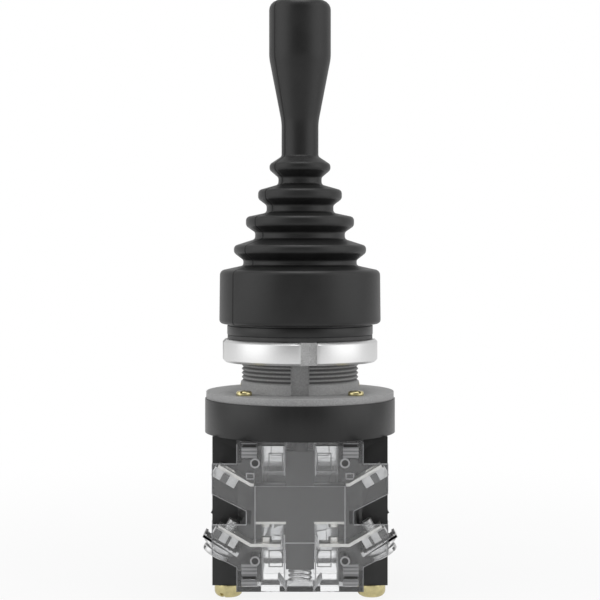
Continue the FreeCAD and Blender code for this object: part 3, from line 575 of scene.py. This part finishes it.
# Fasteners and terminal hardware

def slab(low, high, turn=0):
    # A block between two corners, turned about Z to its side of the switch
    dropSelection()
    bpy.ops.mesh.primitive_cube_add(size=1, location=[(a + b) / 2 * mm for a, b in zip(low, high)],
                                    scale=[(b - a) * mm for a, b in zip(low, high)])
    block = settle(bpy.context.object)
    block.rotation_euler = (0, 0, math.radians(turn))
    return settle(block)


def cutAway(piece, *cutters):
    for cutter in cutters:
        modify(piece, "BOOLEAN", object=cutter, operation="DIFFERENCE", solver="EXACT")
        bpy.data.objects.remove(cutter)


def growOn(piece, *parts):
    for part in parts:
        modify(piece, "BOOLEAN", object=part, operation="UNION", solver="EXACT")
        bpy.data.objects.remove(part)


def standAt(piece, place, axis=(0, 0, 1), turn=0.0):
    # A copy with its own mesh, carried to a place with its length along an axis
    copy = bpy.data.objects.new(piece.name, piece.data.copy())
    bpy.context.scene.collection.objects.link(copy)
    lean = Vector((0, 0, 1)).rotation_difference(Vector(axis)).to_matrix().to_4x4()
    copy.matrix_world = (Matrix.Translation(Vector(place) * mm) @ lean
                         @ Matrix.Rotation(math.radians(turn), 4, "Z"))
    return settle(copy)


def standIn(node, model, spots):
    # Copies of a model at each place, axis and turn, joined to stand in for a node
    pieces = [standAt(model, *spot) for spot in spots]
    bpy.data.objects.remove(model)
    dress(joined(*pieces), f"{node}_shaped", "base", slotOf[node], skins[slotOf[node]], [node])


thread = {"root": 0.84, "valley": 0.3, "crest": 0.8, "tip": 0.7}  # Shares of the shank and of the pitch


def makeScrew(look):
    # A slotted screw along Z: the head is at the low end, and its thread runs up to the tip
    corners = [(0, look["top"], 0), (look["head"], look["top"], look["dome"])]
    if "washer" in look:
        foot, neck = look["under"] - look["washerHigh"], look["shank"] + 0.9
        corners += [(look["head"], foot - 0.3, 0.12), (neck, foot - 0.3, 0.05), (neck, foot, 0.05),
                    (look["washer"], foot, 0.12), (look["washer"], look["under"], 0.1)]
    else:
        corners.append((look["head"], look["under"], 0.15))
    line = rounded([*corners, (look["shank"], look["under"], 0)])
    if look["tip"] > look["under"]:
        ridges = int((look["tip"] - look["under"]) / look["pitch"])
        for ridge in range(ridges):
            low = look["under"] + ridge * look["pitch"]
            line += [Vector((look["shank"] * thread["root"], low + look["pitch"] * thread["valley"])),
                     Vector((look["shank"], low + look["pitch"] * thread["crest"]))]
        line += [Vector((look["shank"] * thread["tip"], look["tip"])), Vector((0, look["tip"]))]
    piece = ringStack(line, look["around"])
    tidyNormals(piece)
    half = look["slot"] / 2
    wide = look["head"] + 1
    cutAway(piece, slab((-wide, -half, look["top"] - 1), (wide, half, look["top"] + look["slotDeep"])))
    bevelEdges(piece, 0.07)
    smooth(piece)
    return piece


terminal = {
    "bend": 11.9, "along": 6.3, "tilt": 30.0, "strip": -48.8, "away": 17.2, "hole": 1.55,
    "clampLow": -4.0, "clampThick": 0.7, "clampLong": 9.6, "clampWide": 6.6, "lip": 1.1,
    "grooves": (-3, -2, -1, 1, 2, 3), "groovePitch": 1.15, "grooveHalf": 0.16, "grooveDeep": 0.2,
    "washer": 4.2, "washerWide": 3.35, "washerGap": 0.02,
}
terminalScrew = {"head": 3.4, "top": -6.9, "under": -4.7, "dome": 0.9, "washer": 3.1, "washerHigh": 0.45,
                 "shank": 1.45, "tip": 2.9, "pitch": 0.5, "slot": 0.9, "slotDeep": 1.1, "around": 40,
                 "turns": (25, -40, 70, 10)}


def terminalSeat(strip):
    # The middle of a contact strip's tilted end, across and up, and how far it tilts
    tilt = math.radians(terminal["tilt"])
    across = terminal["bend"] + terminal["along"] * math.cos(tilt)
    return across, strip + terminal["along"] * math.sin(tilt), tilt


def terminalSpots():
    # Place and axis of each lower terminal: the axis runs from the screw's head to its tip
    across, height, tilt = terminalSeat(terminal["strip"])
    for front in (-1, 1):
        for side in (-1, 1):
            place = (side * across, front * terminal["away"], height)
            yield place, (-side * math.sin(tilt), 0, math.cos(tilt))


def makeClamp():
    # A clamping plate with a lip at each end and grooves across it
    low, thick = terminal["clampLow"], terminal["clampThick"]
    half, wide = terminal["clampLong"] / 2, terminal["clampWide"] / 2
    clamp = slab((-half, -wide, low), (half, wide, low + thick))
    growOn(clamp, *[slab((end, -wide, low), (end + thick, wide, low + terminal["lip"]))
                    for end in (-half, half - thick)])
    for groove in terminal["grooves"]:
        at = groove * terminal["groovePitch"]
        cutAway(clamp, slab((at - terminal["grooveHalf"], -wide - 1, low + thick - terminal["grooveDeep"]),
                            (at + terminal["grooveHalf"], wide + 1, low + thick + 0.1)))
    hole = ringStack([(0, low - 1), (terminal["hole"], low - 1),
                      (terminal["hole"], low + 1.5), (0, low + 1.5)], 32)
    tidyNormals(hole)
    cutAway(clamp, hole)
    bevelEdges(clamp, 0.12, 2)
    smooth(clamp)
    return clamp


def makeWasher():
    # A thick washer under the clamp, with two flats
    low, flat, past = terminal["clampLow"], terminal["washerWide"], 9
    foot, top = low - terminal["clampThick"], low - terminal["washerGap"]
    line = rounded([(terminal["hole"], foot, 0), (terminal["washer"], foot, 0.15),
                    (terminal["washer"], top, 0.15), (terminal["hole"], top, 0)])
    washer = ringStack([*line, line[0]], 56)
    tidyNormals(washer)
    cutAway(washer, slab((-past, -past, low - 2), (past, -flat, low + 1)),
            slab((-past, flat, low - 2), (past, past, low + 1)))
    bevelEdges(washer, 0.08)
    smooth(washer)
    return washer


def makeTerminals():
    straight = (0, 0, 0, 0)
    for node, model, turns in (("terminal_screws", makeScrew(terminalScrew), terminalScrew["turns"]),
                               ("clamp_plates", makeClamp(), straight),
                               ("terminal_washers", makeWasher(), straight)):
        standIn(node, model, [(*spot, turn) for spot, turn in zip(terminalSpots(), turns)])
    print("terminals made")


quarters = ((-1, -1), (1, -1), (-1, 1), (1, 1))
housingScrew = {"head": 3.5, "top": 0.0, "under": 3.2, "dome": 1.7, "shank": 1.45, "pitch": 0.5,
                "slot": 0.9, "slotDeep": 1.2, "around": 48, "away": (17.7, 9.4), "upTo": -20.0,
                "turns": (62, 18, 40, 95)}
flangeScrew = {"head": 1.95, "top": 0.0, "under": 1.1, "dome": 0.7, "shank": 1.1, "tip": 6.0, "pitch": 0.4,
               "slot": 0.55, "slotDeep": 0.5, "around": 40, "turns": (20, 150, 75, 110)}


def makeBrassScrews():
    # Long screws from below, and small ones through the flange
    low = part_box("housing_screws")[0][2] / mm
    awayX, awayY = housingScrew["away"]
    standIn("housing_screws", makeScrew({**housingScrew, "tip": housingScrew["upTo"] - low}),
            [((x * awayX, y * awayY, low), (0, 0, 1), turn)
             for (x, y), turn in zip(quarters, housingScrew["turns"])])
    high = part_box("flange_screws")[1][2] / mm
    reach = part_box("flange_screws")[1][0] / mm - flangeScrew["head"]
    standIn("flange_screws", makeScrew(flangeScrew),
            [((x * reach, y * reach, high), (0, 0, -1), turn)
             for (x, y), turn in zip(quarters, flangeScrew["turns"])])
    print("brass screws made")


sideScrew = {"head": 1.93, "top": 0.0, "under": 1.6, "dome": 0.5, "shank": 1.18, "pitch": 0.5,
             "slot": 0.6, "slotDeep": 0.8, "around": 40, "inset": 0.02,
             "turns": {"right": (24, 70), "left": (-35, 15)}}


def makeSideScrews():
    # The terminal screws in the side housings' openings, with their heads outwards
    for name, side in (("right", 1), ("left", -1)):
        node = f"{name}_terminal_screws"
        low, high = ([number / mm for number in corner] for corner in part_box(node))
        outer = high[0] if side > 0 else low[0]
        away = high[1] - sideScrew["head"] - sideScrew["inset"]
        standIn(node, makeScrew({**sideScrew, "tip": high[0] - low[0]}),
                [((outer, y * away, (low[2] + high[2]) / 2), (-side, 0, 0), turn)
                 for y, turn in zip((-1, 1), sideScrew["turns"][name])])
    print("side screws made")


makeTerminals()
makeBrassScrews()
makeSideScrews()


# The clear contact units

clear = {
    "face": -22.0, "inside": -20.8, "plate": -13.6, "back": -12.4, "outline": 0.3, "edge": 0.1,
    "bottomOpen": (4.9, 9.4), "bottomDeep": (-20.6, -14.0), "bottomHigh": 1.6,
    "shoulder": (10.8, -34.35), "shoulderHigh": 0.16, "shoulderDeep": 0.1,
    "ribX": (3.6, 3.9), "ribDeep": 1.0, "ribSpans": ((-31.8, -24.8), (-58.3, -46.2)),
}
gap = 0.02  # Between the cover's inner faces and what stands before them
seat = 0.01  # Between raised trim and the face that carries it


def bothSides(low, high, turn):
    # The same block left and right of the middle
    return [slab((min(side * low[0], side * high[0]), low[1], low[2]),
                 (max(side * low[0], side * high[0]), high[1], high[2]), turn) for side in (-1, 1)]


def frameBars(across, heights, line, near, far, turn):
    # The four bars of an upright frame, left and right of the middle
    (left, right), (low, high) = across, heights
    bars = []
    for start, end in (((left, low), (right, low + line)), ((left, high - line), (right, high)),
                       ((left, low), (left + line, high)), ((right - line, low), (right, high))):
        bars += bothSides((start[0], near, start[1]), (end[0], far, end[1]), turn)
    return bars


def clearPiece(pieces, name, edge, skin):
    # Pieces of clear plastic made into one, with their edges broken
    piece = joined(*pieces)
    bevelEdges(piece, edge)
    dress(piece, name, "base", "smoke_clear", skins[skin])
    return piece


cup = {"top": (5.2, -56.6), "foot": (3.3, -59.2), "wall": 0.45}


def cupWalls(turned):
    # The two slanted walls that hold the foot of the return spring
    near, far = clear["bottomDeep"]
    (topX, topZ), (footX, footZ), half = cup["top"], cup["foot"], cup["wall"] / 2
    long = math.hypot(topX - footX, topZ - footZ)
    walls = []
    for side in (-1, 1):
        wall = slab((-half, near, -long / 2), (half, far, long / 2))
        lean = Matrix.Rotation(side * math.atan2(topX - footX, topZ - footZ), 4, "Y")
        middle = Matrix.Translation(Vector((side * (topX + footX), 0, topZ + footZ)) / 2 * mm)
        wall.matrix_world = turned.to_4x4() @ middle @ lean
        walls.append(settle(wall))
    return walls


rim = {
    "column": 15.3, "wing": 21.2, "waist": 13.0, "top": -24.2, "foot": -59.5,
    "wingTops": (-28.9, -43.5), "straight": 7.2, "slant": 4.1, "wide": 0.24, "deep": 0.05,
    "roomX": 10.95, "room": (-48.2, -34.3), "ledge": (3.6, -48.05), "roomDeep": 0.2,
}


def rimCorners():
    # The right half of the cover's outline, from top to foot, across and up
    half, wing, waist = rim["column"], rim["wing"], rim["waist"]
    straight, slant = rim["straight"], rim["slant"]
    upper, lower = rim["wingTops"]
    share = (wing - half) / (wing - waist)
    return [(half, rim["top"]), (half, upper), (wing, upper), (wing, upper - straight),
            (waist, upper - straight - slant), (waist, lower), (wing, lower), (wing, lower - straight),
            (half, lower - straight - slant * share), (half, rim["foot"])]


def edgeHighlightLines(turned):
    # Pale frosted lines along the cover's outline, and along the edges of its room that show through it:
    # painted highlights on these edges
    corners = rimCorners()
    lines = [(start, end, clear["face"], clear["face"] + rim["deep"])
             for start, end in zip(corners, corners[1:])]
    (low, high), (ledge, height) = rim["room"], rim["ledge"]
    near, far = clear["inside"] + gap, clear["inside"] + rim["roomDeep"]
    lines += [((rim["roomX"], low), (rim["roomX"], high), near, far),
              ((0, height), (ledge, height), near, far)]
    bars = []
    wide = rim["wide"] / 2
    for (startX, startZ), (endX, endZ), near, far in lines:
        for side in (-1, 1):
            start, end = Vector((side * startX, 0, startZ)), Vector((side * endX, 0, endZ))
            inward = Vector((-side * wide, 0, 0))
            half = (end - start).length / 2
            bar = slab((-wide, near, -half), (wide, far, half))
            lean = Matrix.Rotation(math.atan2(end.x - start.x, end.z - start.z), 4, "Y")
            middle = Matrix.Translation(((start + end) / 2 + inward) * mm)
            bar.matrix_world = turned.to_4x4() @ middle @ lean
            bars.append(settle(bar))
    return bars


wingRib = {"pitch": 14.6, "lower": ((1.2, 3.1), (-1.4, -0.7)), "upper": ((-0.9, 0.8),),
           "low": -2.7, "high": -0.5, "back": -19.95}


def wingRibs(turned):
    # Dark smoky ribs inside the wings, in front of the terminal plates: painted shade, standing in for the
    # dark bands across the plates
    ribs = []
    for strip, spans in ((terminal["strip"], wingRib["lower"]),
                         (terminal["strip"] + wingRib["pitch"], wingRib["upper"])):
        across, height, tilt = terminalSeat(strip)
        for side in (-1, 1):
            for start, end in spans:
                rib = slab((start, clear["inside"] + gap, wingRib["low"]),
                           (end, wingRib["back"], wingRib["high"]))
                if side < 0:
                    rib.matrix_world = Matrix.Scale(-1, 4, (1, 0, 0))
                    settle(rib)
                    tidyNormals(rib)
                middle = Matrix.Translation(Vector((side * across, 0, height)) * mm)
                rib.matrix_world = turned.to_4x4() @ middle @ Matrix.Rotation(-side * tilt, 4, "Y")
                ribs.append(settle(rib))
    return ribs


pane = {"x": (3.3, 9.3), "thick": 0.3, "frameX": (4.2, 7.7), "line": 0.22, "raised": 0.2,
        "heights": ((-32.6, -24.4), (-56.9, -49.4)), "frames": ((-31.6, -27.2), (-55.2, -51.0))}


def makePanes(side, turn):
    # Frosted panes at the back of the four windows, each with a raised square
    near, far = clear["plate"] - pane["thick"], clear["plate"] - gap
    panes, frames = [], []
    for (low, high), framed in zip(pane["heights"], pane["frames"]):
        panes += bothSides((pane["x"][0], near, low), (pane["x"][1], far, high), turn)
        frames += frameBars(pane["frameX"], framed, pane["line"], near - pane["raised"], near - seat, turn)
    clearPiece(panes, f"{side}_panes", 0.05, "frosted_pane")
    # The frames wear the darker copy of the frosted plastic: painted shade along the squares' edges
    clearPiece(frames, f"{side}_frames", 0.05, "frosted_shade")


louvre = {
    "in": 10.3, "out": 14.1, "pocket": 0.85, "panel": 0.3, "play": 0.03,
    "slotHigh": 0.8, "slotInset": 0.25, "slatHigh": 0.5, "slatDeep": 0.55,
    "latchInset": 0.3, "latchDeep": 0.9, "latchPlay": 0.04,
    "heights": ((-27.7, -23.9), (-58.3, -52.9)), "slots": (-24.6, -56.4),
    "slats": ((-25.5, -26.35, -27.2), (-53.4, -54.25, -55.1, -57.6)),
}


def cutLouvres(cover, turn):
    # Pockets in the face, each with slats across it and a slot between two panels
    face, pocket, half = clear["face"], clear["face"] + louvre["pocket"], louvre["slotHigh"] / 2
    inX, outX, inset, play = louvre["in"], louvre["out"], louvre["slotInset"], louvre["play"]
    slats, panels = [], []
    for (low, high), slot, heights in zip(louvre["heights"], louvre["slots"], louvre["slats"]):
        cutAway(cover, *bothSides((inX, face - 1, low), (outX, pocket, high), turn),
                *bothSides((inX + inset, face - 1, slot - half),
                           (outX - inset, clear["plate"] + 1, slot + half), turn))
        for height in heights:
            slats += bothSides((inX + gap, pocket - louvre["slatDeep"], height - louvre["slatHigh"] / 2),
                               (outX - gap, pocket - seat, height + louvre["slatHigh"] / 2), turn)
        for start, end in ((low + play, slot - half), (slot + half, high - play)):
            panels += bothSides((inX + play, pocket - louvre["panel"], start),
                                (outX - play, pocket - seat, end), turn)
    return slats, panels


def makeLatches(side, turn):
    # The dark tongues that show in the slots
    inX, outX = louvre["in"] + louvre["latchInset"], louvre["out"] - louvre["latchInset"]
    half, play = louvre["slotHigh"] / 2, louvre["latchPlay"]
    latches = []
    for slot in louvre["slots"]:
        latches += bothSides((inX, clear["face"] + louvre["latchDeep"], slot - half + play),
                             (outX, clear["back"] - gap, slot + half - play), turn)
    latch = joined(*latches)
    bevelEdges(latch, 0.06)
    dress(latch, f"{side}_latches", "base", "black_plastic", skins["black_plastic"])


boss = {"x": 10.8, "heights": (-28.7, -52.2), "radius": 1.2, "hole": 0.8, "raised": 0.3}


def pinBosses(turned):
    # A raised ring round each pin
    hole, radius, top = boss["hole"], boss["radius"], boss["raised"] - seat
    ring = ringStack([(hole, 0), (radius, 0), (radius, top), (hole, top), (hole, 0)], 32)
    tidyNormals(ring)
    rings = [standAt(ring, turned @ Vector((x, clear["face"] - boss["raised"], height)),
                     turned @ Vector((0, 1, 0)))
             for height in boss["heights"] for x in (-boss["x"], boss["x"])]
    bpy.data.objects.remove(ring)
    return rings


square = {"x": (10.9, 13.0), "heights": (-32.6, -31.0), "line": 0.3, "raised": 0.25}


def makeCover(side, turn):
    # The shell with its louvres, and the trim that stands on it or shows through it
    cover = plainCopy(f"{side}_cover", f"{side}_cover_shaped")
    bevelEdges(cover, clear["outline"], 2)
    slats, panels = cutLouvres(cover, turn)
    face, inside, (reach, height) = clear["face"], clear["inside"], clear["shoulder"]
    panels += bothSides((seat, inside + gap, height - clear["shoulderHigh"]),
                        (reach, inside + clear["shoulderDeep"], height), turn)
    (openIn, openOut), (near, far) = clear["bottomOpen"], clear["bottomDeep"]
    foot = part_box(f"{side}_cover")[0][2] / mm
    cutAway(cover, *bothSides((openIn, near, foot - 1), (openOut, far, foot + clear["bottomHigh"]), turn))
    turned = Matrix.Rotation(math.radians(turn), 3, "Z")
    slats += pinBosses(turned)
    slats += frameBars(square["x"], square["heights"], square["line"],
                       face - square["raised"], face - seat, turn)
    # The lines along the outline and along the room's edges are painted highlights
    slats += cupWalls(turned) + edgeHighlightLines(turned)
    ribIn, ribOut = clear["ribX"]
    for low, high in clear["ribSpans"]:
        slats += bothSides((ribIn, inside + gap, low), (ribOut, inside + clear["ribDeep"], high), turn)
    bevelEdges(cover, clear["edge"], 1, 50)
    smooth(cover)
    modify(cover, "WEIGHTED_NORMAL", keep_sharp=True, weight=80)
    dress(cover, cover.name, "base", "smoke_clear", skins["smoke_clear"], [f"{side}_cover"])
    smooth(clearPiece(slats, f"{side}_slats", 0.08, "frosted"))
    # The panels behind the slats and the line at the shoulder wear the darker copy of the frosted plastic:
    # painted shade between the slats and along the shoulder
    clearPiece(panels, f"{side}_panels", 0.05, "frosted_shade")
    clearPiece(wingRibs(turned), f"{side}_ribs", 0.08, "shade_smoke")
    makeLatches(side, turn)
    print(side, "cover made")


for side, turn in (("front", 0), ("rear", 180)):
    makeCover(side, turn)
    makePanes(side, turn)


# Springs, and the pieces that keep the construction's own shape

def makeReturnSprings():
    # Each return spring, from its foot up to its plunger, as a smoothed copy of its node with no body of
    # its own
    for side in ("front", "rear", "right", "left"):
        node = f"{side}_return_spring"
        spring = bpy.data.objects.new(f"{node}_shaped", frame["nodes"][node].data.copy())
        bpy.context.scene.collection.objects.link(spring)
        smooth(spring, 60)
        dress(spring, spring.name, None, slotOf[node], skins[slotOf[node]], [node])
        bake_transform(spring)
    print("return springs made")


makeReturnSprings()


easedNodes = {
    "bezel_ring": 0.2, "panel_gasket": 0.15, "panel_nut": 0.12, "base_disc": 0.35, "neck_bush": 0.12,
    "right_housing": 0.25, "left_housing": 0.25, "right_lid": 0.1, "left_lid": 0.1,
    "front_base": 0.15, "rear_base": 0.15, "front_plunger": 0.15, "rear_plunger": 0.15,
    "front_terminal_plates": 0.15, "rear_terminal_plates": 0.15,
    "front_contacts": 0.08, "rear_contacts": 0.08, "front_bridge": 0.08, "rear_bridge": 0.08,
}
for node, width in easedNodes.items():
    eased(node, width)
print("edges eased")

for node, piece in frame["nodes"].items():
    piece.data.materials.clear()
    piece.data.materials.append(skinOf(node))
    if not piece.hide_render:
        smooth(piece)

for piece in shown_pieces():  # Clear plastic lets the light through
    if piece.get("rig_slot") == "smoke_clear":
        piece.visible_shadow = False


# The room, the lights and the camera

room = {"floor": 16000.0, "under": 0.02, "shade": 0.8, "rough": 0.8, "white": 1.0, "hold": 0.87,
        "near": 40.0, "far": 260.0, "world": 0.4, "mirror": 0.7,
        "darkWide": 0.74, "darkNarrow": 0.94, "darkLevel": 0.18}


class Sky(Skin):
    # The world's own nodes, for the same expressions
    def __init__(self):
        self.world = bpy.data.worlds.new("studio")
        self.world.use_nodes = True
        self.nodes = self.world.node_tree.nodes
        self.links = self.world.node_tree.links


def rays(skin):
    # 1 for what the camera sees, itself or through clear plastic, and 1 for what is reflected
    path = skin.nodes.new("ShaderNodeLightPath")
    straight, through, glossy = (Port(skin, path.outputs[f"Is {kind} Ray"])
                                 for kind in ("Camera", "Transmission", "Glossy"))
    return straight.join("MAXIMUM", straight, through), glossy


def makeSky():
    # White to the camera, a dark front and bright sides in reflections, and a plain level for the rest
    sky = Sky()
    bpy.context.scene.world = sky.world
    seen, glossy = rays(sky)
    y = sky.split(sky.node("TexCoord", output="Generated"))[1]
    studio = sky.level(y, -room["darkNarrow"], -room["darkWide"], room["darkLevel"], room["mirror"])
    strength = glossy * studio + (room["world"] - glossy * room["world"])
    sky.links.new(seen.join("MAXIMUM", seen, strength).socket, sky.nodes["Background"].inputs["Strength"])
    sky.nodes["Background"].inputs["Color"].default_value = (1, 1, 1, 1)


def makeFloor():
    # A pale floor that holds some of the shade near the switch and fades into the white around it
    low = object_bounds()[0][2]
    dropSelection()
    bpy.ops.mesh.primitive_plane_add(size=room["floor"] * mm, location=(0, 0, low - room["under"] * mm))
    floor = bpy.context.object
    floor.name = "floor"
    settle(floor)
    skin = Skin("paleFloor")
    seen, glossy = rays(skin)
    glow = skin.node("Emission", None, {"Color": grey(1.0), "Strength": room["white"]})
    away = skin.length(skin.place())
    hold = (seen + glossy * room["mirror"]) * skin.level(away, room["near"], room["far"], room["hold"], 1.0)
    mix = skin.node("MixShader", None, {0: hold, 1: Port(skin, skin.shader.outputs[0]), 2: glow})
    skin.links.new(mix.socket, skin.nodes["Material Output"].inputs[0])
    floor.data.materials.append(skin.finish(Base_Color=grey(room["shade"]), Roughness=room["rough"]))


lamps = [
    {"name": "leftSoftbox", "place": (-420, -160, 120), "aim": (0, 0, 10),
     "size": (420, 700), "power": 0.82},
    {"name": "rightSoftbox", "place": (420, -160, 120), "aim": (0, 0, 10),
     "size": (420, 700), "power": 0.82},
    {"name": "topSoftbox", "place": (0, -60, 480), "aim": (0, 0, 0),
     "size": (300, 300), "power": 0.8},
]


def makeLamps():
    for lamp in lamps:
        data = bpy.data.lights.new(lamp["name"], "AREA")
        data.shape = "RECTANGLE"
        data.size, data.size_y = (side * mm for side in lamp["size"])
        data.energy = lamp["power"]
        light = bpy.data.objects.new(lamp["name"], data)
        bpy.context.scene.collection.objects.link(light)
        light.location = Vector(lamp["place"]) * mm
        aim = Vector(lamp["aim"]) * mm - light.location
        light.rotation_euler = aim.to_track_quat("-Z", "Y").to_euler()


view = {"away": 390.0, "height": 22.0, "pixels": 600, "focus": 1533.0, "horizon": 252.0, "sensor": 36.0,
        "near": 10, "far": 20000}


def makeCamera():
    # Level, and shifted to frame the whole switch: its focus and horizon are in pixels
    data = bpy.data.cameras.new("camera")
    camera = bpy.data.objects.new("camera", data)
    bpy.context.scene.collection.objects.link(camera)
    data.sensor_width = view["sensor"]
    data.lens = view["sensor"] * view["focus"] / view["pixels"]
    data.shift_y = (view["horizon"] - view["pixels"] / 2) / view["pixels"]
    data.clip_start, data.clip_end = view["near"] * mm, view["far"] * mm
    camera.location = (0, -view["away"] * mm, view["height"] * mm)
    camera.rotation_euler = (math.radians(90), 0, 0)
    bpy.context.scene.camera = camera


makeFloor()
makeSky()
makeLamps()
makeCamera()
print("room, lamps and camera made")
